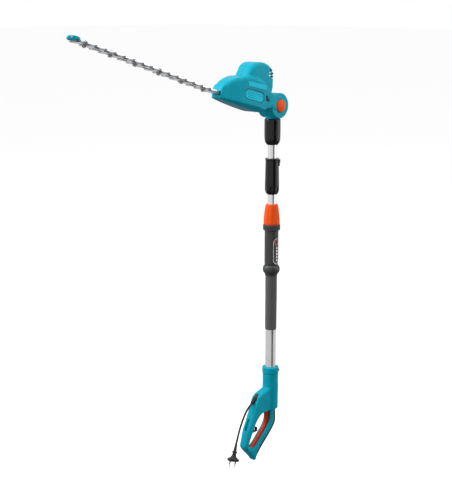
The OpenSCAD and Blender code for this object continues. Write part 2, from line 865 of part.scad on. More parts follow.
// A round tube swept along the points of a route
module swept(points, r, sides) {
  last = len(points) - 1;
  function dir(i) = let (d = points[min(i + 1, last)] - points[max(i - 1, 0)]) d / norm(d);
  rings = [
    for (i = [0:last], k = [0:sides - 1])
      let (d = dir(i), a = 360 * k / sides)
        [points[i][0] - d[1] * r * cos(a), r * sin(a), points[i][1] + d[0] * r * cos(a)]
  ];
  polyhedron(
    rings,
    concat(
      [[for (k = [0:sides - 1]) k]],
      [for (i = [0:last - 1], k = [0:sides - 1])
        let (n = (k + 1) % sides)
          [i * sides + k, (i + 1) * sides + k, (i + 1) * sides + n, i * sides + n]],
      [[for (k = [sides - 1:-1:0]) last * sides + k]]
    )
  );
}

module mains_cord() {
  color(black) swept(cord_route, cord_d / 2, 10);
}

// The plug's own frame: the cord's end at the origin, pins along +Z
module at_plug() {
  translate([cord_end[0], 0, cord_end[1]]) rotate([0, plug_tilt, 0]) rotate(12) children();
}

module mains_plug() {
  color(black) at_plug() {
    rotate_extrude() polygon([
      [0, 0], [3.6, 0], [5, 22], [7.8, 23], [7.8, 26], [5.6, 27], [7, 32], [11, 41], [0, 41]
    ]);
    translate([0, 0, 40]) linear_extrude(10) stadium(6.5, 12);
  }
  color(steel) at_plug() for (s = [-1, 1]) translate([s * pin_spacing / 2, 0, 49]) cylinder(r = 2.4, h = 19);
}

head_shell_left();
head_shell_right();
head_screws();
blade_upper();
blade_lower();
guide_bar();
blade_bolts();
blade_tip_guard();
blade_wiper();
gearbox_plate();
motor_plate();
drive_gear();
gear_shaft();
gear_bushes();
motor_stator();
armature();
motor_pinion();
motor_fan();
motor_bearings();
brush_holders();
carbon_brushes();
motor_lead();
tilt_hub();
tilt_pin();
detent_ring();
tilt_button();
tilt_button_spring();
tilt_cap();
adaptor_sleeve();
head_tube();
coupling_sleeve();
coupling_catch();
coupling_socket();
coupling_plug();
inner_tube();
guide_bush();
coiled_lead();
clamp_cap();
clamp_collet();
clamp_base();
front_grip();
grip_label();
foam_grip();
outer_tube();
handle_shell_left();
handle_shell_right();
handle_screws();
tube_screw();
trigger_lever();
trigger_pin();
trigger_spring();
lock_button();
switch_case();
switch_plunger();
capacitor();
grip_pad();
cable_hook();
cord_gland();
mains_cord();
mains_plug();
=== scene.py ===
"""Looks of the pole hedge trimmer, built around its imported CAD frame. Lengths are in metres;
shapes that are drawn in millimetres are turned into metres by MM."""

import json
import math

import bmesh
import bpy
import numpy as np
from mathutils import Matrix, Vector


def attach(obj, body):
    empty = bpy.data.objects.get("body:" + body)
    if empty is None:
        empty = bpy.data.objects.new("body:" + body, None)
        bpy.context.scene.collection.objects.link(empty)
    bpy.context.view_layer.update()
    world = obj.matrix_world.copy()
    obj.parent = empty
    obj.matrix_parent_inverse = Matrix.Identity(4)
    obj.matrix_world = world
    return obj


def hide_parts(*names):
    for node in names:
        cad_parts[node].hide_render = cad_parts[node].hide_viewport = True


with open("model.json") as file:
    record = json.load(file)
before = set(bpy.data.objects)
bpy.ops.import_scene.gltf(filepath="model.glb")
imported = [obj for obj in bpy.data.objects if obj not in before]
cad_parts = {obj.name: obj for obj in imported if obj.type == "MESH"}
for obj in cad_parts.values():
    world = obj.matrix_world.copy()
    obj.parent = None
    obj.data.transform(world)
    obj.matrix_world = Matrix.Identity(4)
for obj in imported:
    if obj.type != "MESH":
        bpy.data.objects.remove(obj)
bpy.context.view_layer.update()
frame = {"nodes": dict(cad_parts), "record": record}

MM = 0.001
BLADE_ANGLE = math.radians(17.5)
TILT_Z = 0.556
ON_HEAD = Matrix.Translation((0, 0, TILT_Z)) @ Matrix.Rotation(BLADE_ANGLE, 4, "Y")
UPRIGHT = Matrix.Rotation(math.radians(90), 4, "X")
TURN = 2 * math.pi
# Cell of the distance fields of the two casings, in millimetres
CASING_STEP = 0.95

# ---------- camera ----------


def direction(azimuth, elevation):
    """Unit vector from the pole towards azimuth and elevation in degrees; azimuth 0 is -Y, 90 is +X."""
    a, e = math.radians(azimuth), math.radians(elevation)
    return Vector((math.sin(a) * math.cos(e), -math.cos(a) * math.cos(e), math.sin(e)))


def make_camera(azimuth, elevation, distance, target, lens):
    back = direction(azimuth, elevation)
    data = bpy.data.cameras.new("camera")
    data.lens = lens
    camera = bpy.data.objects.new("camera", data)
    camera.location = Vector(target) + back * distance
    camera.rotation_mode = "QUATERNION"
    camera.rotation_quaternion = (-back).to_track_quat("-Z", "Y")
    bpy.context.scene.collection.objects.link(camera)
    bpy.context.scene.camera = camera


make_camera(azimuth=-47, elevation=12.5, distance=3.2, target=(-0.0856, 0.0945, 0.1505), lens=82)

# ---------- materials ----------


def map_range(tree, value, start, end, low, high):
    """value from start..end brought to low..high."""
    made = tree.nodes.new("ShaderNodeMapRange")
    for socket, number in (("From Min", start), ("From Max", end), ("To Min", low), ("To Max", high)):
        made.inputs[socket].default_value = number
    tree.links.new(value, made.inputs["Value"])
    return made.outputs["Result"]


class Surface:
    """A procedural material around one Principled shader, in object coordinates."""

    def __init__(self, name, color, roughness, **sockets):
        self.material = bpy.data.materials.new(name)
        self.material.use_nodes = True
        self.tree = self.material.node_tree
        self.shader = self.tree.nodes["Principled BSDF"]
        self.shader.inputs["Base Color"].default_value = (*color, 1)
        self.shader.inputs["Roughness"].default_value = roughness
        for socket, value in sockets.items():
            self.shader.inputs[socket.replace("_", " ")].default_value = value
        self.place = self.node("ShaderNodeTexCoord").outputs["Object"]
        self.normal = None

    def node(self, kind, **values):
        made = self.tree.nodes.new(kind)
        for key, value in values.items():
            if key in made.inputs:
                made.inputs[key].default_value = value
            else:
                setattr(made, key, value)
        return made

    def link(self, out, into):
        self.tree.links.new(out, into)

    def stretched(self, scale):
        mapping = self.node("ShaderNodeMapping")
        mapping.inputs["Scale"].default_value = scale
        self.link(self.place, mapping.inputs["Vector"])
        return mapping.outputs["Vector"]

    def noise(self, scale, detail=3, stretch=None, roughness=0.5):
        made = self.node("ShaderNodeTexNoise", Scale=scale, Detail=detail, Roughness=roughness)
        self.link(self.stretched(stretch) if stretch else self.place, made.inputs["Vector"])
        return made.outputs["Fac"]

    def cells(self, scale):
        made = self.node("ShaderNodeTexVoronoi", Scale=scale)
        self.link(self.place, made.inputs["Vector"])
        return made.outputs["Distance"]

    def bump(self, height, strength, distance):
        made = self.node("ShaderNodeBump", Strength=strength, Distance=distance)
        self.link(height, made.inputs["Height"])
        if self.normal:
            self.link(self.normal, made.inputs["Normal"])
        self.normal = made.outputs["Normal"]
        self.link(self.normal, self.shader.inputs["Normal"])

    def rough(self, value, low, high):
        self.link(map_range(self.tree, value, 0.3, 0.7, low, high), self.shader.inputs["Roughness"])

    def tint(self, value, dark, light):
        ramp = self.node("ShaderNodeValToRGB")
        for element, position, color in zip(ramp.color_ramp.elements, (0.3, 0.7), (dark, light)):
            element.position = position
            element.color = (*color, 1)
        self.link(value, ramp.inputs["Fac"])
        self.paint(ramp.outputs["Color"])

    def paint(self, out):
        self.color = out
        self.link(out, self.shader.inputs["Base Color"])

    def edge_wear(self, color, amount):
        """Rubbed edges: the convex edges turn towards color."""
        pointed = self.node("ShaderNodeNewGeometry").outputs["Pointiness"]
        mix = self.node("ShaderNodeMix", data_type="RGBA")
        self.link(map_range(self.tree, pointed, 0.52, 0.6, 0, amount), mix.inputs["Factor"])
        self.link(self.color, mix.inputs[6])
        mix.inputs[7].default_value = (*color, 1)
        self.paint(mix.outputs[2])


def shade(color, factor):
    return tuple(min(1.0, c * factor) for c in color)


def plastic(name, color, roughness, grain=2600, depth=0.00004, strength=0.25, wear=0.25, **sockets):
    """Moulded plastic: spark-eroded grain, faint colour drift, handled patches and rubbed edges."""
    s = Surface(name, color, roughness, **sockets)
    s.tint(s.noise(45, 4), shade(color, 0.93), shade(color, 1.05))
    s.edge_wear(tuple(0.75 * c + 0.18 for c in color), wear)
    s.rough(s.noise(160, 5), roughness - 0.06, roughness + 0.09)
    s.bump(s.noise(grain, 2), strength, depth)
    s.bump(s.noise(220, 2), 0.06, 0.0004)
    return s.material


def metal(name, color, roughness, stretch, scale=1.0, depth=0.00002, strength=0.35, **sockets):
    """Drawn, ground or machined metal with marks along one direction."""
    s = Surface(name, color, roughness, Metallic=1.0, **sockets)
    s.tint(s.noise(28, 5), shade(color, 0.88), shade(color, 1.04))
    marks = s.noise(scale, 4, stretch)
    s.rough(marks, roughness - 0.07, roughness + 0.1)
    s.bump(marks, strength, depth)
    return s.material


def foam_material():
    color = (0.05, 0.05, 0.052)
    s = Surface("foam", color, 0.85, Sheen_Weight=0.2, Sheen_Roughness=0.5)
    s.tint(s.noise(900, 3), shade(color, 0.7), shade(color, 1.35))
    s.rough(s.noise(300, 3), 0.78, 0.95)
    s.bump(s.cells(1500), 0.6, 0.00025)
    s.bump(s.noise(90, 3), 0.15, 0.0008)
    return s.material


def rubber(name, color, roughness, grain=1800):
    s = Surface(name, color, roughness, Specular_IOR_Level=0.35)
    s.tint(s.noise(70, 4), shade(color, 0.75), shade(color, 1.4))
    s.rough(s.noise(400, 4), roughness - 0.08, roughness + 0.12)
    s.bump(s.noise(grain, 3), 0.3, 0.00005)
    return s.material


def laminations():
    """Stacked sheets seen as fine lines square to the motor's axis."""
    color = (0.25, 0.25, 0.26)
    s = Surface("laminations", color, 0.45, Metallic=0.9)
    wave = s.node("ShaderNodeTexWave", Scale=300, Distortion=0.0, bands_direction="Z")
    s.link(s.place, wave.inputs["Vector"])
    s.tint(wave.outputs["Fac"], shade(color, 0.5), shade(color, 1.3))
    s.rough(s.noise(300, 3), 0.35, 0.6)
    s.bump(wave.outputs["Fac"], 0.4, 0.0001)
    return s.material


def steel_with_painted_edge_shade():
    """Blades: bright ground faces, with painted shade on the sideways faces of the edges and teeth, which
    turn near black.
    """
    bright, dark = (0.84, 0.85, 0.87), (0.04, 0.04, 0.043)
    s = Surface("blade_steel", bright, 0.28, Metallic=1.0)
    facing = s.node("ShaderNodeVectorMath", operation="DOT_PRODUCT")
    s.link(s.node("ShaderNodeTexCoord").outputs["Normal"], facing.inputs[0])
    facing.inputs[1].default_value = (math.sin(BLADE_ANGLE), 0, math.cos(BLADE_ANGLE))
    flat = s.node("ShaderNodeMath", operation="ABSOLUTE")
    s.link(facing.outputs["Value"], flat.inputs[0])
    # Painted shade: the less a face looks along the blade's normal, the nearer it goes to the dark colour.
    s.tint(flat.outputs["Value"], dark, bright)
    marks = s.noise(1.0, 4, (2200, 40, 900))
    s.rough(marks, 0.2, 0.38)
    s.bump(marks, 0.3, 0.00002)
    return s.material


MATERIALS = {
    "teal_plastic": plastic("teal_plastic", (0.0, 0.25, 0.335), 0.4, wear=0.05, Specular_IOR_Level=0.08),
    "teal_plate": plastic("teal_plate", (0.0, 0.42, 0.55), 0.4, wear=0.08, Specular_IOR_Level=0.12),
    "orange_plastic": plastic("orange_plastic", (0.64, 0.068, 0.006), 0.33, wear=0.06,
                              Specular_IOR_Level=0.1),
    # Painted shade: the trigger's orange is a darker copy of the orange plastic, as if in shade.
    "trigger_orange": plastic("trigger_orange", (0.33, 0.028, 0.003), 0.4, wear=0.06,
                              Specular_IOR_Level=0.12),
    "black_plastic": plastic("black_plastic", (0.01, 0.01, 0.011), 0.42, wear=0.08, Specular_IOR_Level=0.35),
    "gloss_black": plastic("gloss_black", (0.003, 0.003, 0.0034), 0.12, depth=0.00002, wear=0.04,
                           Specular_IOR_Level=0.3),
    "grip_grey": plastic("grip_grey", (0.026, 0.027, 0.028), 0.4, wear=0.08, Specular_IOR_Level=0.35),
    "foam": foam_material(),
    "soft_pad": rubber("soft_pad", (0.006, 0.0065, 0.008), 0.5),
    "cord_rubber": rubber("cord_rubber", (0.006, 0.006, 0.006), 0.4),
    "tube_aluminium": metal("tube_aluminium", (0.74, 0.74, 0.76), 0.27, (2600, 2600, 12), strength=0.12),
    "bar_aluminium": metal("bar_aluminium", (0.8, 0.81, 0.83), 0.3, (60, 3000, 60)),
    "blade_steel": steel_with_painted_edge_shade(),
    "zinc_steel": metal("zinc_steel", (0.24, 0.24, 0.25), 0.36, (900, 900, 900)),
    "gear_steel": metal("gear_steel", (0.42, 0.43, 0.45), 0.34, (1200, 1200, 1200)),
    "spring_steel": metal("spring_steel", (0.5, 0.5, 0.52), 0.3, (1500, 1500, 1500)),
    "die_cast": metal("die_cast", (0.55, 0.56, 0.58), 0.5, (700, 700, 700), depth=0.00008),
    "laminated_steel": laminations(),
    "bronze": metal("bronze", (0.62, 0.42, 0.2), 0.45, (900, 900, 900)),
    "carbon": rubber("carbon", (0.03, 0.03, 0.03), 0.6),
    "felt": rubber("felt", (0.05, 0.05, 0.05), 0.9, grain=900),
    "capacitor_yellow": plastic("capacitor_yellow", (0.72, 0.48, 0.06), 0.28),
    "label": plastic("label", (0.72, 0.73, 0.75), 0.3, wear=0.05),
    "label_dark": plastic("label_dark", (0.03, 0.03, 0.032), 0.35, wear=0.05),
    "label_red": plastic("label_red", (0.62, 0.03, 0.06), 0.32, wear=0.05),
    # Painted shade: a darkened copy of the teal, for the bottom of the groove and the inside of the vent.
    "groove_dark": plastic("groove_dark", (0.0, 0.07, 0.1), 0.5, wear=0.0),
}

# ---------- mesh helpers ----------


def finish_mesh(name, verts, faces, slot, body, place=None, smooth_below=35):
    """A piece from vertices in millimetres and faces, riding on body."""
    mesh = bpy.data.meshes.new(name)
    mesh.from_pydata((np.asarray(verts, float) * MM).tolist(), [], faces)
    mesh.validate()
    if place is not None:
        mesh.transform(place)
    return add_piece(name, mesh, slot, body, smooth_below)


def add_piece(name, mesh, slot, body, smooth_below=35):
    made = bmesh.new()
    made.from_mesh(mesh)
    bmesh.ops.recalc_face_normals(made, faces=made.faces)
    made.to_mesh(mesh)
    made.free()
    mesh.shade_smooth()
    mesh.set_sharp_from_angle(angle=math.radians(smooth_below))
    piece = bpy.data.objects.new(name, mesh)
    bpy.context.scene.collection.objects.link(piece)
    mesh.materials.append(MATERIALS[slot])
    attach(piece, body)
    return piece


def lathe(name, profile, slot, body, segments=96, wobble=None, place=None, smooth_below=35):
    """A closed body of revolution about Z. profile is a closed loop of (radius, z) in millimetres;
    wobble(angle, radius, z) gives the radius actually used there."""
    count = len(profile)
    verts, faces = [], []
    for i in range(segments):
        a = TURN * i / segments
        for r, z in profile:
            r = wobble(a, r, z) if wobble else r
            verts.append((r * math.cos(a), r * math.sin(a), z))
    for i in range(segments):
        j = (i + 1) % segments
        for k in range(count):
            n = (k + 1) % count
            faces.append((i * count + k, j * count + k, j * count + n, i * count + n))
    return finish_mesh(name, verts, faces, slot, body, place, smooth_below)


def rounded(points, radius, steps=4):
    """The outline with its corners rounded. radius is one number or one for each corner."""
    count = len(points)
    radii = radius if hasattr(radius, "__len__") else [radius] * count
    out = []
    for i, (p, r) in enumerate(zip(points, radii)):
        p = Vector(p)
        a, b = Vector(points[i - 1]) - p, Vector(points[(i + 1) % count]) - p
        cut = min(r, a.length * 0.45, b.length * 0.45)
        if cut < 1e-6:
            out.append(tuple(p))
            continue
        start, end = p + a.normalized() * cut, p + b.normalized() * cut
        for k in range(steps + 1):
            t = k / steps
            out.append(tuple(start * (1 - t) ** 2 + p * 2 * t * (1 - t) + end * t * t))
    return out


def catmull_rom(a, b, c, d, t):
    """The point at t of the way from b to c on the curve through a, b, c and d."""
    return 0.5 * (2 * b + (c - a) * t + (2 * a - 5 * b + 4 * c - d) * t * t
                  + (3 * b - a - 3 * c + d) * t ** 3)


def smooth(points, steps=4):
    """A closed Catmull-Rom outline through the points."""
    count = len(points)
    out = []
    for i in range(count):
        corners = [np.array(points[(i + k) % count], float) for k in (-1, 0, 1, 2)]
        out += [tuple(catmull_rom(*corners, k / steps)) for k in range(steps)]
    return out


def mirrored(points):
    """The whole outline from its half on the -Y side."""
    return points + [(x, -y) for x, y in reversed(points) if y]


def tube_faces(rings, count):
    """The quads between rings of count vertices each."""
    quads = []
    for start in range(0, (rings - 1) * count, count):
        for k in range(count):
            n = (k + 1) % count
            quads.append((start + k, start + n, start + count + n, start + count + k))
    return quads


# ---------- distance fields: every moulded shell is a formula that is turned into a mesh ----------


def outline(points):
    """The signed distance to a closed outline, as a function of two coordinates."""
    ends = list(zip(points, points[1:] + points[:1]))

    def distance(u, v):
        best, inside = np.float32(1e9), False
        for (u0, v0), (u1, v1) in ends:
            eu, ev = u1 - u0, v1 - v0
            wu, wv = u - u0, v - v0
            t = np.clip((wu * eu + wv * ev) / (eu * eu + ev * ev + 1e-12), 0, 1)
            best = np.minimum(best, (wu - eu * t) ** 2 + (wv - ev * t) ** 2)
            if v0 != v1:
                inside = inside ^ (((v0 <= v) != (v1 <= v)) & (u < u0 + eu * (v - v0) / ev))
        return np.where(inside, -np.sqrt(best), np.sqrt(best))

    return distance


def join(a, b, r=0.0):
    """Union with a fillet of radius r."""
    if not r:
        return np.minimum(a, b)
    return np.maximum(r, np.minimum(a, b)) - np.hypot(np.maximum(r - a, 0), np.maximum(r - b, 0))


def meet(a, b, r=0.0):
    """Intersection with an edge of radius r."""
    if isinstance(r, (int, float)) and not r:
        return np.maximum(a, b)
    return np.minimum(-r, np.maximum(a, b)) + np.hypot(np.maximum(a + r, 0), np.maximum(b + r, 0))


def cut(a, b, r=0.0):
    return meet(a, -b, r)


def stadium(u, v, half_length, half_width):
    return np.hypot(np.maximum(np.abs(u) - half_length, 0), v) - half_width


def block(u, v, w, a, b, c, r=0.0):
    """A box with half sides a, b, c and edges of radius r."""
    du, dv, dw = np.abs(u) - a + r, np.abs(v) - b + r, np.abs(w) - c + r
    outside = np.sqrt(np.maximum(du, 0) ** 2 + np.maximum(dv, 0) ** 2 + np.maximum(dw, 0) ** 2)
    return outside + np.minimum(np.maximum(du, np.maximum(dv, dw)), 0) - r


def turned(u, v, centre, degrees):
    """u and v in a frame at centre that is turned by degrees."""
    c, s = math.cos(math.radians(degrees)), math.sin(math.radians(degrees))
    du, dv = u - centre[0], v - centre[1]
    return du * c + dv * s, -du * s + dv * c


def surface_net(shape, low, high, step):
    """Vertices and quads of the surface where shape(x, y, z) is zero."""
    axes = [np.arange(a - 1.5 * step, b + 2.5 * step, step, dtype=np.float32) for a, b in zip(low, high)]
    value = shape(*np.meshgrid(*axes, indexing="ij", sparse=True))
    size = value.shape
    owners, places, quads = [], [], []
    for a in range(3):
        behind = tuple(slice(None, -1) if i == a else slice(None) for i in range(3))
        ahead = tuple(slice(1, None) if i == a else slice(None) for i in range(3))
        v0, v1 = value[behind], value[ahead]
        at = np.argwhere((v0 < 0) != (v1 < 0))
        key = tuple(at.T)
        v0, v1 = v0[key], v1[key]
        place = at.astype(float)
        place[:, a] += v0 / (v0 - v1)
        b, c = (a + 1) % 3, (a + 2) % 3
        ring = []
        for ob, oc in ((0, 0), (-1, 0), (-1, -1), (0, -1)):
            cell = at.copy()
            cell[:, b] += ob
            cell[:, c] += oc
            ring.append(np.ravel_multi_index(tuple(cell.T), size))
            owners.append(ring[-1])
            places.append(place)
        ring = np.stack(ring, 1)
        ring[v0 > 0] = ring[v0 > 0][:, ::-1]
        quads.append(ring)
    owners, places, quads = np.concatenate(owners), np.concatenate(places), np.concatenate(quads)
    used, index = np.unique(owners, return_inverse=True)
    weight = np.bincount(index)
    verts = np.stack([np.bincount(index, places[:, i]) / weight for i in range(3)], 1)
    verts = verts * step + np.array([a[0] for a in axes])
    return settle(shape, verts, step), np.searchsorted(used, quads)


def settle(shape, verts, step):
    """Moves each vertex onto the true surface, by at most half a step."""
    e = 0.2 * step
    for _ in range(2):
        here = shape(*verts.T)
        slope = np.stack([
            (shape(*(verts + d).T) - shape(*(verts - d).T)) / (2 * e) for d in np.eye(3) * e
        ], 1)
        move = -(here / np.maximum((slope ** 2).sum(1), 0.25))[:, None] * slope
        length = np.linalg.norm(move, axis=1, keepdims=True)
        verts = verts + move * np.minimum(1, 0.5 * step / np.maximum(length, 1e-9))
    return verts


def moulded(name, shape, low, high, step, slot, body, place=None, smooth_below=40):
    verts, faces = surface_net(shape, low, high, step)
    return finish_mesh(name, verts, faces.tolist(), slot, body, place, smooth_below)


# ---------- mains cord, plug and gland ----------

# The cord's route in X and Z, in millimetres, from the gland to the plug: the route of part.scad
CORD_ROUTE = [
    (-79.5, -283), (-85.6, -286.4), (-91.9, -291.1), (-98, -296), (-103.7, -302), (-108.8, -308.6),
    (-113.5, -315.5), (-117.8, -322.6), (-121.9, -330), (-125.8, -337.4), (-129.4, -345), (-132.7, -353),
    (-135.7, -361), (-138.6, -369), (-141.6, -377), (-144.5, -385),
]
CORD_D = 6
PLUG_TILT = -164
PLUG_TURN = 12
PIN_X = 9.5
GLAND_BASE = (-57, -270)
GLAND_TILT = -120


def aimed(base, tilt, turn=0):
    """The frame of a piece that stands at base, in X and Z, and points out along its own +Z."""
    return (Matrix.Translation((base[0] * MM, 0, base[1] * MM)) @ Matrix.Rotation(math.radians(tilt), 4, "Y")
            @ Matrix.Rotation(math.radians(turn), 4, "Z"))


def through(points, steps=5):
    """Points along one smooth curve through the given ones, which it keeps."""
    p = [Vector(q) for q in points]
    p = [2 * p[0] - p[1], *p, 2 * p[-1] - p[-2]]
    out = [catmull_rom(*four, k / steps) for four in zip(p, p[1:], p[2:], p[3:]) for k in range(steps)]
    return out + [p[-2]]


def loft(name, rings, slot, body, place=None, smooth_below=35):
    """A closed skin over rings of equally many points, with flat ends."""
    count = len(rings[0])
    verts = [p for ring in rings for p in ring]
    faces = tube_faces(len(rings), count)
    faces += [tuple(range(count)), tuple(range(len(verts) - count, len(verts)))]
    return finish_mesh(name, verts, faces, slot, body, place, smooth_below)


def long_ring(z, half_length, radius, count=64):
    """A ring at z, round where half_length is 0 and stretched along X otherwise."""
    ring = []
    for k in range(count):
        a = TURN * k / count
        side = max(-1.0, min(1.0, 4 * math.cos(a)))
        ring.append((radius * math.cos(a) + half_length * side, radius * math.sin(a), z))
    return ring


def mains_plug():
    """Flat two-pin plug with a grooved boot. The sections are (z, half length, radius)."""
    sections = [(0, 0, 3.3)]
    for i in range(12):
        z, r = 1 + 1.75 * i, 3.7 + 0.12 * i
        sections += [(z, 0, r), (z + 0.35, 0, r - 0.35), (z + 0.95, 0, r - 0.35), (z + 1.3, 0, r)]
    sections += [
        (22.6, 0, 6.9), (23, 0, 7.5), (23.8, 0, 7.8), (25.2, 0, 7.8), (26, 0, 7.4), (26.8, 0, 5.6),
        (28, 0, 5.4), (31, 0.2, 5.7), (35, 0.8, 6.4), (38, 1.6, 7.3), (40.5, 3, 8.8), (42, 4.4, 10.3),
        (43, 5.6, 11.4), (43.8, 6.3, 11.9), (44.5, 6.5, 12), (48, 6.5, 12), (49, 6.4, 11.7),
        (49.7, 6.1, 11), (50, 5.6, 10.2),
    ]
    rings = [long_ring(*section) for section in sections]
    place = aimed(CORD_ROUTE[-1], PLUG_TILT, PLUG_TURN)
    plug = loft("plug_body", rings, "cord_rubber", "handle", place, 50)
    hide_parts("mains_plug")
    parts = [plug]
    sleeve = [(0, 49.5), (2.0, 49.5), (2.0, 59.5), (1.85, 59.8), (0, 59.8)]
    metal_end = [(0, 59), (1.8, 59), (2.4, 59.9), (2.4, 65.6), (2.1, 67.2), (1.3, 68), (0, 68)]
    for side, x in (("a", -PIN_X), ("b", PIN_X)):
        at = place @ Matrix.Translation((x * MM, 0, 0))
        parts.append(spindle("pin_sleeve_" + side, sleeve, "cord_rubber", "handle", 32, at))
        parts.append(spindle("pin_" + side, metal_end, "tube_aluminium", "handle", 32, at))
    return parts


def spindle(name, half_profile, slot, body, segments=96, place=None, smooth_below=35):
    """A solid of revolution about Z from (radius, z) points that start and end at radius 0."""
    inner = half_profile[1:-1]
    rings = [[(r * math.cos(TURN * k / segments), r * math.sin(TURN * k / segments), z)
              for k in range(segments)] for r, z in inner]
    verts = [p for ring in rings for p in ring]
    base, tip = len(verts), len(verts) + 1
    verts += [(0, 0, half_profile[0][1]), (0, 0, half_profile[-1][1])]
    faces = tube_faces(len(rings), segments)
    last = (len(rings) - 1) * segments
    for k in range(segments):
        n = (k + 1) % segments
        faces += [(base, n, k), (tip, last + k, last + n)]
    return finish_mesh(name, verts, faces, slot, body, place, smooth_below)


def mains_cord(plug):
    route = through([(x * MM, 0, z * MM) for x, z in CORD_ROUTE])
    curve = bpy.data.curves.new("cord", "CURVE")
    curve.dimensions = "3D"
    curve.bevel_depth = CORD_D / 2 * MM
    curve.bevel_resolution = 6
    curve.use_fill_caps = True
    line = curve.splines.new("POLY")
    line.points.add(len(route) - 1)
    for point, place in zip(line.points, route):
        point.co = (*place, 1)
    curve.materials.append(MATERIALS["cord_rubber"])
    cord = bpy.data.objects.new("cord", curve)
    bpy.context.scene.collection.objects.link(cord)
    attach(cord, "handle")
    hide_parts("mains_cord")


def cord_gland():
    """A tapering strain relief with grooves all round."""
    profile = [(3.05, -6), (8.1, -6), (8.1, 6.4), (7.6, 7.2)]
    for i in range(7):
        z, r = 7.8 + 2.5 * i, 7.0 - 0.38 * i
        profile += [(r, z), (r, z + 1.1), (r - 0.8, z + 1.4), (r - 0.9, z + 2.2)]
    profile += [(4.4, 25.4), (4.1, 26), (3.05, 26)]
    gland = lathe("gland", profile, "cord_rubber", "handle", 64, place=aimed(GLAND_BASE, GLAND_TILT))
    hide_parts("cord_gland")


mains_cord(mains_plug())
cord_gland()

# ---------- pole ----------


def adaptor_sleeve():
    points = rounded([(12.6, 448), (15.3, 448), (20.3, 455), (22, 463), (22.4, 480), (22.4, 517.6),
                      (21.2, 520), (17.1, 520), (17.1, 491), (12.6, 490)],
                     [0.5, 1.2, 4, 4, 8, 1.5, 1, 0.3, 0.3, 0.3])

    def wobble(a, r, z):
        if r < 18:
            return r
        rib = 0.35 * max(0.0, math.cos(24 * a)) ** 2 * window(z, 470, 512, 4)
        return r - rib

    sleeve = lathe("adaptor_sleeve_cover", points, "gloss_black", "extension", 192, wobble)
    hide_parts("adaptor_sleeve")


def window(z, low, high, soft):
    """1 between low and high, falling to 0 over soft."""
    up = min(1.0, max(0.0, (z - low) / soft))
    down = min(1.0, max(0.0, (high - z) / soft))
    return up * up * (3 - 2 * up) * down * down * (3 - 2 * down)


def coupling_sleeve():
    points = [(12.6, 310), (14.2, 310), (18, 315), (19.8, 322), (20, 331), (19.2, 370), (18.6, 400),
              (18.6, 405), (19.4, 406), (19.4, 409.8), (18.4, 411), (12.6, 411)]
    points = refine(rounded(points, [0.3, 1, 4, 4, 6, 9, 2, 0.8, 0.6, 0.8, 0.8, 0.3]), 1.5)

    def wobble(a, r, z):
        if r < 13:
            return r
        lobe = 0.5 - 0.5 * math.cos(6 * a)
        return r - 2.6 * lobe ** 2 * (1 - window(z, 322, 900, 14)) * min(1, (r - 12.6) / 2)

    sleeve = lathe("coupling_sleeve_cover", points, "gloss_black", "extension", 144, wobble)
    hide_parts("coupling_sleeve")


def refine(points, step):
    """More points along a closed outline, so that no side is longer than step."""
    out = []
    for a, b in zip(points, points[1:] + points[:1]):
        parts = max(1, math.ceil(math.dist(a, b) / step))
        out += [tuple(a[i] + (b[i] - a[i]) * k / parts for i in (0, 1)) for k in range(parts)]
    return out


def clamp_cap():
    """Twist cap of the telescope clamp, with broad finger flutes."""
    outer = [(19.0, 225.4), (22.6, 225.4), (23.3, 231), (22.2, 246), (20.6, 262), (18.4, 275.5), (16.8, 281),
             (14.6, 283)]
    inner = [(12.85, 283), (12.85, 271.4), (15.8, 270.4), (15.8, 262.4), (18.55, 262.4)]
    points = refine(rounded(outer + inner, [0.5, 1.2, 3, 8, 8, 4, 2, 0.6, 0.4, 0.3, 0.3, 0.3, 0.3]), 1.5)

    def wobble(a, r, z):
        if r < 16.2 or z > 282.5:
            return r
        flute = (0.5 - 0.5 * math.cos(10 * a)) ** 3
        return r - 0.95 * flute * window(z, 228.5, 274, 7) * min(1, max(0, r - 18.9) / 1.2)

    cap = lathe("clamp_cap_cover", points, "orange_plastic", "clamp", 240, wobble)
    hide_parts("clamp_cap")


def clamp_base():
    """Ridged collar that the twist cap closes on."""
    points = [(15.52, 209), (23.2, 209), (24.2, 211), (24.2, 223.2), (23.2, 225), (18.2, 225), (18.2, 258),
              (17.15, 258), (17.15, 233), (15.52, 233)]
    points = refine(rounded(points, [0.2, 0.8, 0.8, 0.8, 0.8, 0.2, 0.3, 0.3, 0.2, 0.2]), 1.2)

    def wobble(a, r, z):
        if r < 23 or z > 226:
            return r
        ridge = (0.5 - 0.5 * math.cos(30 * a)) ** 2
        return r - 0.8 * ridge * window(z, 211, 221.5, 1.6)

    collar = lathe("clamp_collar", points, "grip_grey", "handle", 300, wobble)
    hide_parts("clamp_base")


def front_grip():
    ring = [(14.6 + 9.7 * math.cos(math.radians(a)), 97 + 13.6 * math.sin(math.radians(a)))
            for a in range(-66, 67, 6)]
    points = [(15.52, 79.2), *rounded([(17.2, 79.2), (18.0, 80.6), (18.3, 84)], 0.5)[1:-1], *ring,
              *rounded([(19.2, 111), (19.6, 116), (19.6, 205.6), (18.6, 208.8), (17.6, 208.9)], 1.6)[2:-1],
              (15.52, 208.9)]
    points = refine(points, 2.0)

    def wobble(a, r, z):
        if r < 19.3:
            return r
        seam = 0.22 * math.exp(-(math.sin(a) / 0.02) ** 2)
        groove = 0.3 * window(z, 199, 201.6, 0.8) + 0.3 * window(z, 116, 118.6, 0.8)
        return r - (seam if z > 112 else 0.6 * seam) - groove

    grip = lathe("front_grip_cover", points, "grip_grey", "handle", 240, wobble)
    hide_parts("front_grip")


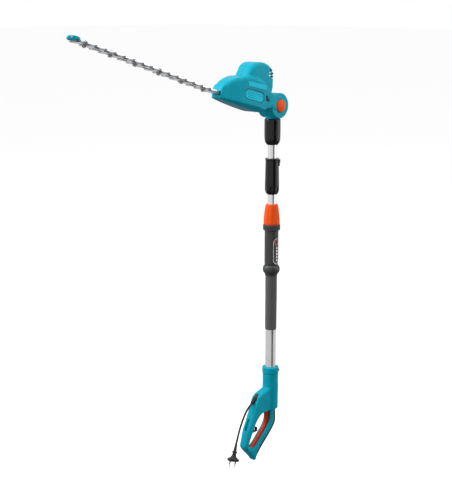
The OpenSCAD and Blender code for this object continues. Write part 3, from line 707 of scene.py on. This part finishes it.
def wrapped(name, points, depth, radius, slot, body, place, lift=0.3):
    """A flat outline in millimetres bent round a cylinder about Z, facing -Y, as a thin plate."""
    count = len(points)
    rings = []
    for grow, out in ((0, 0), (0, depth - lift), (-lift, depth)):
        shape = inset(points, -grow)
        rings.append([((radius + out) * math.sin(x / radius), -(radius + out) * math.cos(x / radius), z)
                      for x, z in shape])
    bm = bmesh.new()
    held = [bm.verts.new(Vector(p) * MM) for ring in rings for p in ring]
    for f in tube_faces(len(rings), count):
        bm.faces.new([held[i] for i in f])
    for level in (0, 2):
        fill_strip(bm, [held[level * count + k] for k in range(count)])
    mesh = bpy.data.meshes.new(name)
    bm.to_mesh(mesh)
    bm.free()
    if place is not None:
        mesh.transform(place)
    return add_piece(name, mesh, slot, body, 30)


def fill_strip(bm, ring):
    """Closes a ring whose two halves mirror each other, by quads across it."""
    count = len(ring)
    half = count // 2
    for k in range(half):
        a, b = ring[k], ring[k + 1]
        c, d = ring[(count - 1 - k) % count], ring[(count - k) % count]
        corners = [v for i, v in enumerate((a, b, c, d)) if v not in (a, b, c, d)[:i]]
        if len(corners) > 2 and not bm.faces.get(corners):
            bm.faces.new(corners)


def inset(points, amount):
    """The outline moved inwards by amount."""
    if not amount:
        return list(points)
    out = []
    count = len(points)
    for i, p in enumerate(points):
        a, b = Vector(points[i - 1]), Vector(points[(i + 1) % count])
        along = (b - a).normalized()
        out.append((p[0] - along.y * amount, p[1] + along.x * amount))
    return out


def capsule(half_width, low, high, count=48):
    """A standing capsule, counter-clockwise from its bottom, made of a ring symmetric about its axis."""
    out = []
    for k in range(count):
        a = TURN * k / count - math.pi / 2
        centre = high - half_width if math.sin(a) > 1e-9 else low + half_width
        out.append((half_width * math.cos(a), centre + half_width * math.sin(a)))
    return out


def grip_label():
    """Generic capsule badge: silver rim, dark field with plain bars and a red end, without any words."""
    plate = wrapped("badge", capsule(11.6, 113.5, 186.5), 0.55, 19.45, "label", "handle", None)
    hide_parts("grip_label")
    wrapped("badge_field", capsule(8.2, 117, 168), 0.75, 19.45, "label_dark", "handle", None, 0.15)
    wrapped("badge_dot", capsule(8.2, 167.0, 183.4), 0.85, 19.45, "label_red", "handle", None, 0.2)
    for i in range(5):
        low = 122 + 8.6 * i
        wrapped(f"badge_bar_{i + 1}", capsule(2.2, low, low + 6.4), 0.92, 19.45, "label", "handle", None, 0.1)


def foam_grip():
    """Foam sleeve: softly rounded at the bottom, pushed against the front grip."""
    points = [(15.55, -79), *rounded([(15.9, -79), (16.6, -78.4), (16.8, -74.5), (16.8, 77), (16.2, 79),
                                      (15.9, 79)], [0.3, 1, 3, 2, 1, 0.3], 5)[1:-1], (15.55, 79)]
    points = refine(points, 2.2)

    def wobble(a, r, z):
        if r < 16:
            return r
        return r - 0.12 - 0.10 * math.sin(3 * a + z / 21) - 0.06 * math.sin(7 * a - z / 9)

    foam = lathe("foam_sleeve", points, "foam", "handle", 96, wobble)
    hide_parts("foam_grip")


adaptor_sleeve()
coupling_sleeve()
clamp_cap()
clamp_base()
front_grip()
grip_label()
foam_grip()

# ---------- cutting head, in its own frame: the blade runs to -X, the tilt axis is at 0 ----------

BODY_SIDE = outline(smooth([
    (-226, -30), (-220, -37), (-150, -38), (-88, -38), (-68, -33), (-54, -22), (-36, -12), (-34, 22),
    (-46, 24), (-62, 33), (-90, 43), (-119, 46), (-150, 43), (-178, 33), (-204, 18), (-224, -2), (-228, -14),
]))
BODY_PLAN = outline(smooth(mirrored([
    (-228, -10), (-224, -18), (-200, -24), (-165, -33), (-125, -36.6), (-88, -35.6), (-52, -30), (-26, -28),
])))
DOME_SIDE = outline(smooth([
    (-152, 12), (-152, 36), (-149, 56), (-138, 76), (-118, 89), (-92, 94), (-66, 90), (-50, 80), (-45, 62),
    (-38, 40), (-36, 24), (-38, 12),
]))
DOME_PLAN = outline(smooth(mirrored([
    (-152, 0), (-148, -20), (-132, -30), (-98, -32), (-64, -30), (-42, -24), (-35, 0),
])))
DRUM_R = 34.5
DRUM_HALF = 28
HEAD_SCREWS = [(-196, 8), (-172, -32.5), (-76, -31), (-56, 10), (-139, 60), (-58, 53)]
PANEL_AT = (-119.5, -2.5)
PLATE_AT = (-114, 26.5)
VENT_AT = (-61, 4)
WALL = 2.6


def head_form(x, y, z):
    """Gearbox and motor housing with rounded edges, and how far each point is out of the sides."""
    sides = BODY_PLAN(x, y)
    edge = np.where(z > 0, 9.0, 4.0)
    body = meet(BODY_SIDE(x, z), sides, edge)
    # The bevel of the underside, whose upper edge falls towards the nose
    ridge = -26 + 0.0583 * np.minimum(x + 98, 0)
    bevel = (sides - 0.95 * (z - ridge)) / 1.38
    body = meet(body, bevel, 1.5)
    walls = DOME_PLAN(x, y) + 0.055 * np.maximum(z - 40, 0)
    dome = meet(DOME_SIDE(x, z), walls, 10.0)
    return join(body, dome, 4.0), sides, walls


def head_marks(form, x, y, z, sides, walls):
    """Cuts that show on the outside: grooves, air inlets and the slots round the back of the dome."""
    form = cut(form, meet(panel_groove(x, z), -(sides + 2.0)), 0.3)
    vu, vv = turned(x, z, VENT_AT, -4)
    vent = np.maximum(np.abs(vu + 0.45 * vv) - 9.6, np.abs(vv) - 7)
    form = cut(form, meet(vent, -(sides + 6.5)), 0.4)
    for low in (61.5, 69.5, 77.5):
        slot = meet(np.abs(x + 52) - 21, np.abs(z - low - 2 + 0.12 * (x + 52)) - 2.2, 0.8)
        form = cut(form, meet(slot, -(np.maximum(walls, DOME_SIDE(x, z)) + 5)), 0.5)
    scoop = np.sqrt((x + 212) ** 2 / 3.2 + (np.abs(y) - 27) ** 2 + (z + 34) ** 2) - 5.2
    return cut(form, scoop, 0.8)


def panel_edge(x, z):
    """Coordinates along and across the grip panel, and the distance to its outline."""
    u, v = turned(x, z, PANEL_AT, 4)
    return u, v, stadium(u, v, 24, 10.6)


def panel_groove(x, z):
    """Line that runs over the grip panel and curls down behind it."""
    u, v, edge = panel_edge(x, z)
    return np.maximum(np.abs(edge - 4.4) - 1.2, -v - 0.12 * u - np.maximum(u - 22, 0) * 1.2)


def head_casing(x, y, z):
    form, sides, walls = head_form(x, y, z)
    outer = head_marks(form, x, y, z, sides, walls)
    shell = np.maximum(outer, -(form + WALL))
    radius = np.hypot(x, z)
    neck = block(x + 27, y, z - 5, 25, DRUM_HALF, 17, 3)
    cheeks = meet(radius - DRUM_R, np.abs(y) - DRUM_HALF, 3.2)
    solid = join(cheeks, neck, 6)
    shell = join(shell, np.maximum(solid, -(form + WALL)), 5)
    dish = np.sqrt(radius ** 2 + (np.abs(y) + 181.5) ** 2) - 156.4
    shell = cut(shell, dish, 1.5)
    shell = cut(shell, meet(radius - 35.1, np.abs(y) - 19.9), 0.6)
    shell = cut(shell, radius - 6.1)
    shell = cut(shell, pocket(radius, y, 18.4, -22.5, -40), 0.6)
    shell = cut(shell, pocket(radius, y, 10.4, 26, 40), 0.4)
    for u, v in HEAD_SCREWS:
        well = np.hypot(x - u, z - v)
        boss = np.maximum(well - 4.2, form + 0.6)
        shell = np.minimum(shell, boss)
        shell = cut(shell, np.maximum(well - 1.65, -11 - y))
        shell = cut(shell, np.maximum(well - 4.0, 16 - y), 0.5)
    shell = cut(shell, block(x + 217.2, y, z + 22.3, 7.2, 15.6, 7))
    return cut(shell, block(x + 230, y, z + 22.2, 10, 13.4, 5.0, 1.5), 0.8)


def pocket(radius, y, r, start, end):
    """A round hole of radius r about Y from start towards end."""
    middle, half = (start + end) / 2, abs(end - start) / 2
    return np.maximum(radius - r, np.abs(y - middle) - half)


def shells(name, casing, low, high, place=None):
    """The two shells of a casing, which meet at Y = 0; the left one is on the -Y side."""
    for side, sign in (("left", -1), ("right", 1)):
        def half(x, y, z, sign=sign):
            return meet(casing(x, y, z), 0.06 - sign * y, 0.5)
        near = (low[0], min(0, high[1] * sign), low[2])
        far = (high[0], max(0, high[1] * sign), high[2])
        shell = moulded(f"{name}_cover_{side}", half, near, far, CASING_STEP, "teal_plastic", name, place)
        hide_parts(f"{name}_shell_{side}")


def side_insert(name, shape, low, high, step, slot):
    """The same small part on both sides of the head; shape takes x, z and how far out of the side it is."""
    for side, sign in (("left", -1), ("right", 1)):
        def both(x, y, z):
            return shape(x, z, BODY_PLAN(x, y))
        edges = sorted((sign * low[1], sign * high[1]))
        moulded(f"{name}_{side}", both, (low[0], edges[0], low[2]), (high[0], edges[1], high[2]), step, slot,
                "head", ON_HEAD, 30)


def panel_insert(x, z, sides):
    """Long panel with a raised rim and three ribs."""
    u, v, edge = panel_edge(x, z)
    base = meet(edge, np.abs(sides + 0.6) - 0.9, 0.4)
    rim = meet(np.abs(edge + 1.7) - 1.7, np.abs(sides + 0.1) - 1.3, 0.7)
    plate = join(base, rim, 0.6)
    for row in (-4.4, 0, 4.4):
        rib = np.maximum(np.abs(v - row) - 1.1, stadium(u, v, 20, 6.6))
        plate = join(plate, meet(rib, np.abs(sides) - 1.0, 0.5), 0.5)
    return plate


def groove_painted_shade(x, z, sides):
    """Painted shade: a dark teal sheet at the bottom of the groove."""
    return np.maximum(panel_groove(x, z) + 0.1, np.abs(sides + 1.7) - 0.6)


def name_plate(x, z, sides):
    """Plain raised plate with slanted ends."""
    u, v = turned(x, z, PLATE_AT, 5)
    edge = np.maximum(np.abs(u + 0.35 * v) - 38, np.abs(v) - 6.2)
    return meet(edge, np.abs(sides + 0.35) - 1.15, 0.8)


def vent_with_painted_shade(x, z, sides):
    """Frame with slanted slats and a back wall, whose dark teal paints the shade inside the vent."""
    u, v = turned(x, z, VENT_AT, -4)
    edge = np.maximum(np.abs(u + 0.45 * v) - 9.4, np.abs(v) - 6.8)
    slats = np.abs((v + 0.25 * u + 40) % 3.4 - 1.7) - 0.72
    grid = np.minimum(slats, np.abs(edge + 0.6) - 0.6)
    floor = -(sides + 5.9)
    back = np.maximum(sides + 5.0, floor)
    bars = np.maximum(np.maximum(grid, sides + 1.4), floor)
    return np.maximum(np.minimum(bars, back), edge)


def head_inserts():
    step = 0.5
    side_insert("grip_panel", panel_insert, (-156, -39, -17), (-83, -30, 12), step, "teal_plate")
    side_insert("name_plate", name_plate, (-157, -39, 16), (-71, -28, 37), step, "teal_plate")
    # The dark teal of the groove's bottom is painted shade.
    side_insert("panel_line", groove_painted_shade, (-162, -36, -16), (-78, -28, 20), step, "groove_dark")
    # The dark teal of the vent's slats and back is painted shade.
    side_insert("vent_grille", vent_with_painted_shade, (-76, -36, -6), (-46, -22, 14), step, "groove_dark")


def tilt_hub(x, y, z):
    """Round hub of the tilt joint on its neck."""
    radius = np.hypot(x, z)
    drum = meet(radius - 34.2, np.abs(y) - 19.6, 1.4)
    neck = np.maximum(np.hypot(x, y) - 17, np.maximum(z + 16, -66 - z))
    flare = np.maximum(np.hypot(x, y) - 19.6, np.maximum(z + 16, -35.6 - z))
    hub = join(drum, np.minimum(neck, flare), 3)
    hub = cut(hub, radius - 6.1)
    hub = cut(hub, pocket(radius, y, 18.05, -15.7, -30))
    return cut(hub, np.maximum(np.hypot(x, y) - 6, z + 12))


def tilt_joint():
    step = 0.9
    hub = moulded("tilt_hub_cover", tilt_hub, (-35, -20, -66), (35, 20, 35), step, "teal_plastic",
                  "extension", Matrix.Translation((0, 0, TILT_Z)))
    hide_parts("tilt_hub")
    cap = [(0, 32.2), (13.4, 32.2), (14.2, 31.6), (14.2, 26.4), (17.4, 26.2), (17.75, 28.4), (17.3, 29.9)]
    cap += [(r, 26.2 - 30.8 + math.sqrt(40 ** 2 - r ** 2)) for r in (16.4, 15, 13, 10.5, 8, 5.5, 3, 1.2)]
    cap.append((0, 35.4))
    button = spindle("release_button", cap, "orange_plastic", "button", 96, ON_HEAD @ UPRIGHT)
    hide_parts("tilt_button")


shells("head", head_casing, (-229, -38, -39), (35, 38, 95), ON_HEAD)
head_inserts()
tilt_joint()

# ---------- rear handle ----------

LOOP_OUTER = outline(smooth([
    (-20, -250), (-35, -255), (-54, -261), (-67, -273), (-81, -308), (-95, -337), (-106, -358), (-112, -380),
    (-118, -403), (-108, -418), (-88, -441), (-79, -452), (-71, -454), (-66, -442), (-44, -418), (-22, -398),
    (0, -376), (11, -360), (13, -342), (12, -322), (18, -313), (20, -290), (20, -244),
], 3))
LOOP_INNER = outline(smooth([
    (-48, -319), (-30, -318), (-14, -320), (-14, -344), (-23, -362), (-44, -383), (-70, -406), (-86, -414),
    (-98, -413), (-106, -405), (-103, -396), (-94, -377), (-85, -360), (-76, -343), (-63, -328),
], 3))
PIVOT = (-80, -424)
TRIGGER_TRAVEL = 3
LEVER = outline([(x - PIVOT[0], z - PIVOT[1]) for x, z in smooth([
    (-24, -306), (-22, -330), (-22, -349), (-31, -366), (-50, -385), (-75, -407), (-84, -417), (-86, -424),
    (-82, -430), (-75, -427), (-66, -413), (-42, -391), (-22, -371), (-12, -352), (-12, -330), (-13, -306),
], 3)])
HANDLE_HALF = 15.5
COLUMN_R = 22.6
TUBE_BOTTOM = -254
HANDLE_SCREWS = [(-42, -276), (-92, -350), (-96, -425), (-2, -355)]
RECESS_AT = (-99, -343)
PAD_WIDTH = 13.5
PAD_DEPTH = 2.6


def handle_form(x, y, z):
    """Column round the tube, shoulder and D-shaped loop, with their edges rounded."""
    around = np.hypot(x, y)
    column = meet(around - COLUMN_R, np.abs(z + 256) - 60, 4)
    collar = meet(around - 23.8, np.abs(z + 199.5) - 9.4, 2.4)
    rear = (-(x + 30) * 92 + (z + 318) * 65) / 112.6
    half = HANDLE_HALF - 0.016 * np.maximum(-330 - z, 0)
    outer = LOOP_OUTER(x, z)
    loop = meet(outer, np.abs(y) - half, np.where(rear < 0, 10.5, 7.0))
    body = join(column, loop, 3)
    body = cut(body, LOOP_INNER(x, z), 5)
    return join(body, collar, 1.0), outer, rear


def past_pad(x, z):
    """How far a point lies beyond the pad's lower end, along the rear branch."""
    return -(x + 66) * 0.74 - (z + 435.5) * 0.67


def pad_zone(x, z, outer, rear):
    """Where the soft pad covers the back of the rear branch."""
    return np.maximum(np.maximum(-outer - PAD_WIDTH, rear), np.maximum(z + 322, past_pad(x, z)))


def lever_zone(x, z):
    """The trigger lever's outline over its whole swing."""
    at_rest = LEVER(x - PIVOT[0], z - PIVOT[1])
    return np.minimum(at_rest, LEVER(*turned(x, z, PIVOT, -TRIGGER_TRAVEL)))


def gland_zone(x, y, z):
    dx, dz = math.sin(math.radians(GLAND_TILT)), math.cos(math.radians(GLAND_TILT))
    u, v = x - GLAND_BASE[0], z - GLAND_BASE[1]
    along = u * dx + v * dz
    return np.maximum(np.hypot(y, u * dz - v * dx) - 8.25, np.abs(along - 2.5) - 9.5)


def handle_casing(x, y, z):
    form, outer, rear = handle_form(x, y, z)
    skin = cut(form, np.maximum(pad_zone(x, z, outer, rear), -(form + PAD_DEPTH)), 0.3)
    u, w = turned(x, z, RECESS_AT, -21)
    recess = np.maximum(np.hypot(y, np.maximum(np.abs(w) - 12, 0)) - 5.2, np.abs(u) - 6.5)
    skin = cut(skin, recess, 1.0)
    seam = np.maximum(np.abs(z + 211.5) - 0.7, -(form + 0.9))
    skin = cut(skin, seam, 0.3)
    hollow = np.maximum(form + 2.8, z - TUBE_BOTTOM + 1.5)
    shell = cut(skin, np.maximum(hollow, recess_wall(recess)))
    shell = cut(shell, np.maximum(np.hypot(x, y) - 15.55, TUBE_BOTTOM - 0.5 - z), 0.3)
    shell = cut(shell, np.maximum(lever_zone(x, z) - 1.8, np.abs(y) - 8.4), 0.6)
    shell = cut(shell, gland_zone(x, y, z), 0.4)
    shell = cut(shell, np.maximum(np.hypot(x - 2, z + 288) - 7.35, 12 - y), 0.5)
    for a, b in HANDLE_SCREWS:
        well = np.hypot(x - a, z - b)
        shell = np.minimum(shell, np.maximum(well - 3.8, form + 0.5))
        shell = cut(shell, np.maximum(well - 1.65, -9 - y))
        shell = cut(shell, np.maximum(well - 3.5, 11 - y), 0.4)
    hook = block(x + 84, y + 7, z + 360, 2.1, 4.1, 7.1)
    return cut(shell, hook)


def recess_wall(recess):
    """Keeps material behind the recess of the front branch."""
    return -(recess - 2.2)


def soft_pad(x, y, z):
    """Ribbed soft pad, flush with the handle's skin."""
    form, outer, rear = handle_form(x, y, z)
    ribs = 0.25 + 0.25 * np.cos(past_pad(x, z) * 2.2)
    raised = meet(form + ribs * (np.abs(y) < 9.5), pad_zone(x, z, outer, rear) + 0.25, 0.5)
    return np.maximum(raised, -(form + PAD_DEPTH - 0.1))


def lever(x, y, z):
    """Long trigger lever with rounded edges and the hole for its pin."""
    flat = LEVER(x - PIVOT[0], z - PIVOT[1])
    bar = meet(flat, np.abs(y) - 6.6, 2.6)
    return cut(bar, np.hypot(x - PIVOT[0], z - PIVOT[1]) - 2.1)


def handle_parts():
    step = 0.8
    pad = moulded("soft_pad_cover", soft_pad, (-76, -16, -446), (16, 16, -318), step, "soft_pad", "handle")
    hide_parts("grip_pad")
    # The trigger's darker orange is painted shade.
    bar = moulded("trigger_cover", lever, (-88, -7, -432), (-10, 7, -304), step, "trigger_orange", "trigger")
    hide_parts("trigger_lever")


def flat_part(name, outlines, low, high, bevel, slot, body, place=None):
    """A flat part with bevelled edges from closed outlines, of which the inner ones are holes."""
    curve = bpy.data.curves.new(name, "CURVE")
    curve.dimensions = "2D"
    curve.fill_mode = "BOTH"
    curve.extrude = ((high - low) / 2 - bevel) * MM
    curve.bevel_depth = bevel * MM
    curve.bevel_resolution = 1
    curve.offset = -bevel * MM
    for points in outlines:
        line = curve.splines.new("POLY")
        line.points.add(len(points) - 1)
        line.use_cyclic_u = True
        for point, (x, y) in zip(line.points, points):
            point.co = (x * MM, y * MM, 0, 1)
    flat = bpy.data.objects.new(name + "_outline", curve)
    mesh = bpy.data.meshes.new_from_object(flat)
    bpy.data.objects.remove(flat)
    mesh.name = name
    mesh.transform(Matrix.Translation((0, 0, (low + high) / 2 * MM)))
    bm = bmesh.new()
    bm.from_mesh(mesh)
    bmesh.ops.remove_doubles(bm, verts=bm.verts, dist=1e-6)
    bm.to_mesh(mesh)
    bm.free()
    if place is not None:
        mesh.transform(place)
    mesh.materials.clear()
    return add_piece(name, mesh, slot, body, 20)


def cable_hook():
    """Bent hook that holds the extension lead."""
    points = rounded([(-85.8, -367), (-81.9, -367), (-70, -367), (-66.5, -366), (-66.5, -354), (-71, -354),
                      (-71, -362), (-81.9, -362), (-81.9, -353), (-85.8, -353)],
                     [1, 0.1, 0.1, 3, 1.8, 1.8, 1.5, 1.5, 0.8, 0.8])
    hook = flat_part("hook", [points], 3, 11, 0.7, "black_plastic", "handle", UPRIGHT)
    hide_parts("cable_hook")


shells("handle", handle_casing, (-121, -24.5, -456), (24.5, 24.5, -189))
handle_parts()
cable_hook()

# ---------- blades ----------

BLADE_T = 2.5
LOWER_Z = -26.6
UPPER_Z = -23.8
BAR_Z = -21
BAR_T = 3.2
TOOTH_PITCH = 30.2
TOOTH_COUNT = 16
FIRST_TOOTH = -249.5
TOOTH_HALF = 26
BOLT_PITCH = 81.5
BOLTS = [-278 - i * BOLT_PITCH for i in range(6)]
ROOT_BOLTS = (-187, -207)
GEAR_X = -131
THROW = 7.5
BOLT_R = 2.6


def long_hole(x, y, half_length, radius, count=20):
    ring = []
    for k in range(count):
        a = TURN * (k + 0.5) / count
        shift = math.copysign(half_length, math.cos(a))
        ring.append((x + radius * math.cos(a) + shift, y + radius * math.sin(a)))
    return ring[::-1]


def box_outline(x0, x1, y0, y1, r):
    return rounded([(x0, y0), (x1, y0), (x1, y1), (x0, y1)], r)


def blade_edge(shift):
    """The blade's outline: a bar with a sharp tooth on both sides at every pitch."""
    side = []
    for i in range(TOOTH_COUNT):
        x = FIRST_TOOTH - i * TOOTH_PITCH + shift
        side += [(x + 11.5, 12.6), (x + 8.2, 14), (x + 2.2, TOOTH_HALF - 0.9), (x + 1.4, TOOTH_HALF),
                 (x - 3.6, TOOTH_HALF), (x - 4.6, TOOTH_HALF - 0.8), (x - 7.4, 14), (x - 10.4, 12.6)]
    start = GEAR_X + 29
    head = [(start, -22), (start, 22), (GEAR_X - 29, 22), (GEAR_X - 33, 13)]
    tip = [(-712, 12.6), (-712, -12.6)]
    back = [(x, -y) for x, y in reversed(side)]
    return [*head, *side, *tip, *back, (GEAR_X - 33, -13), (GEAR_X - 29, -22)]


def blade_holes():
    """Slots for the bolts over the whole stroke, windows between them and the opening for the crank."""
    holes = [long_hole(x, 0, THROW + 0.5, BOLT_R + 0.3) for x in BOLTS]
    holes.append(long_hole(sum(ROOT_BOLTS) / 2, 0, THROW + 10.5, BOLT_R + 0.3))
    holes += [long_hole(x - BOLT_PITCH / 2, 0, 12, 3.5) for x in BOLTS[:5]]
    holes.append(box_outline(GEAR_X - 24.5, GEAR_X + 24.5, -17.5, 17.5, 4)[::-1])
    return holes


def blades():
    for name, low, shift in (("upper", UPPER_Z, 3), ("lower", LOWER_Z, -3)):
        outlines = [blade_edge(shift), *blade_holes()]
        blade = flat_part(f"toothed_blade_{name}", outlines, low, low + BLADE_T, 0.75, "blade_steel",
                          f"{name}_blade", ON_HEAD)
        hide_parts(f"blade_{name}")


TIP_SIDE = outline(smooth([
    (-739, -23), (-735, -18), (-727, -14.8), (-717, -14), (-708, -15.6), (-705, -19), (-705, -26),
    (-736, -26),
]))
TIP_PLAN = outline(smooth(mirrored([
    (-738, 0), (-733, -7.5), (-724, -11.3), (-713, -11.6), (-705, -8.5),
])))


def tip_cap(x, y, z):
    """Almond-shaped cap over the bar's end."""
    cap = meet(TIP_SIDE(x, z), TIP_PLAN(x, y), np.where(z > -20, 3.0, 1.5))
    cap = cut(cap, block(x + 716, y, z + 19.4, 18, 9.15, 1.6))
    cap = cut(cap, block(x + 700, y, z + 26, 22.5, 30, 5))
    return cut(cap, np.maximum(np.hypot(x + 722, y) - 2.1, z + 18))


def guide_bar():
    """Flat bar above the blades."""
    ring = [(-724 + 9 * math.cos(math.radians(a)), 9 * math.sin(math.radians(a))) for a in range(90, 271, 15)]
    body = [(-215, 9), *ring, (-215, -9), (-215, -13), (-168, -13), (-168, 13), (-215, 13)]
    holes = [[(x + BOLT_R * math.cos(TURN * k / 24), -BOLT_R * math.sin(TURN * k / 24)) for k in range(24)]
             for x in (*BOLTS, *ROOT_BOLTS, -722)]
    bar = flat_part("bar", [body, *holes], BAR_Z, BAR_Z + BAR_T, 0.45, "bar_aluminium", "head", ON_HEAD)
    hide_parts("guide_bar")


blades()
guide_bar()
tip_cover = moulded("tip_cover", tip_cap, (-741, -14, -29), (-702, 14, -11), 0.45,
                    "teal_plastic", "head", ON_HEAD)
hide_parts("blade_tip_guard")

# ---------- CAD nodes that stay, with their own finish ----------


def dress_nodes():
    """Gives every shown CAD node its material and smooth round faces."""
    slots = {part["node"]: part["material_slot"] for part in frame["record"]["subparts"]}
    for name, node in frame["nodes"].items():
        if node.hide_render:
            continue
        mesh = node.data
        mesh.materials.clear()
        mesh.materials.append(MATERIALS[slots[name]])
        mesh.shade_smooth()
        mesh.set_sharp_from_angle(angle=math.radians(30))


dress_nodes()

# ---------- floor and light ----------


def stage():
    mesh = bpy.data.meshes.new("floor")
    half, low = 40, -0.474
    mesh.from_pydata([(-half, -half, low), (half, -half, low), (half, half, low), (-half, half, low)], [],
                     [(0, 1, 2, 3)])
    floor = bpy.data.objects.new("floor", mesh)
    bpy.context.scene.collection.objects.link(floor)
    paint = Surface("floor", (0.97, 0.97, 0.97), 1.0, Specular_IOR_Level=0.0)
    mesh.materials.append(paint.material)
    floor.visible_diffuse = False
    floor.visible_glossy = False
    world = bpy.data.worlds.new("studio")
    bpy.context.scene.world = world
    world.use_nodes = True
    tree = world.node_tree
    height = tree.nodes.new("ShaderNodeSeparateXYZ")
    tree.links.new(tree.nodes.new("ShaderNodeTexCoord").outputs["Generated"], height.inputs["Vector"])
    strength = map_range(tree, height.outputs["Z"], -0.6, -0.15, 0.25, 1.0)
    tree.links.new(strength, tree.nodes["Background"].inputs["Strength"])
    tree.nodes["Background"].inputs["Color"].default_value = (1, 1, 1, 1)
    bpy.context.scene.view_settings.view_transform = "Standard"


def flag(azimuth, distance, width, height):
    """A black card that shades one side and shows as a dark strip in the tubes, itself out of sight."""
    middle = direction(azimuth, 0) * distance + Vector((0, 0, 0.15))
    across = direction(azimuth + 90, 0) * width / 2
    up = Vector((0, 0, height / 2))
    corners = [middle - across - up, middle + across - up, middle + across + up, middle - across + up]
    mesh = bpy.data.meshes.new("flag")
    mesh.from_pydata([tuple(c) for c in corners], [], [(0, 1, 2, 3)])
    card = bpy.data.objects.new("flag", mesh)
    bpy.context.scene.collection.objects.link(card)
    mesh.materials.append(Surface("flag", (0.02, 0.02, 0.02), 0.9).material)
    card.visible_camera = False
    card.visible_shadow = False


def softbox(name, azimuth, elevation, distance, size, power, height=0.15):
    """A rectangular lamp round the pole, seen from it at azimuth and elevation, aimed at it."""
    back = direction(azimuth, elevation)
    data = bpy.data.lights.new(name, "AREA")
    data.shape = "RECTANGLE"
    data.size, data.size_y = size
    data.energy = power
    lamp = bpy.data.objects.new(name, data)
    lamp.location = back * distance + Vector((0, 0, height))
    lamp.rotation_mode = "QUATERNION"
    lamp.rotation_quaternion = (-back).to_track_quat("-Z", "Y")
    bpy.context.scene.collection.objects.link(lamp)


stage()
flag(azimuth=-14, distance=2.1, width=1.3, height=3.2)
softbox("key", -125, 38, 2.6, (1.6, 2.2), 75)
softbox("rim", 42, 12, 2.4, (0.7, 2.4), 12)
softbox("top", -60, 78, 3.0, (2.0, 2.0), 24)
softbox("head", 12, 34, 1.3, (0.7, 0.7), 5, height=0.6)
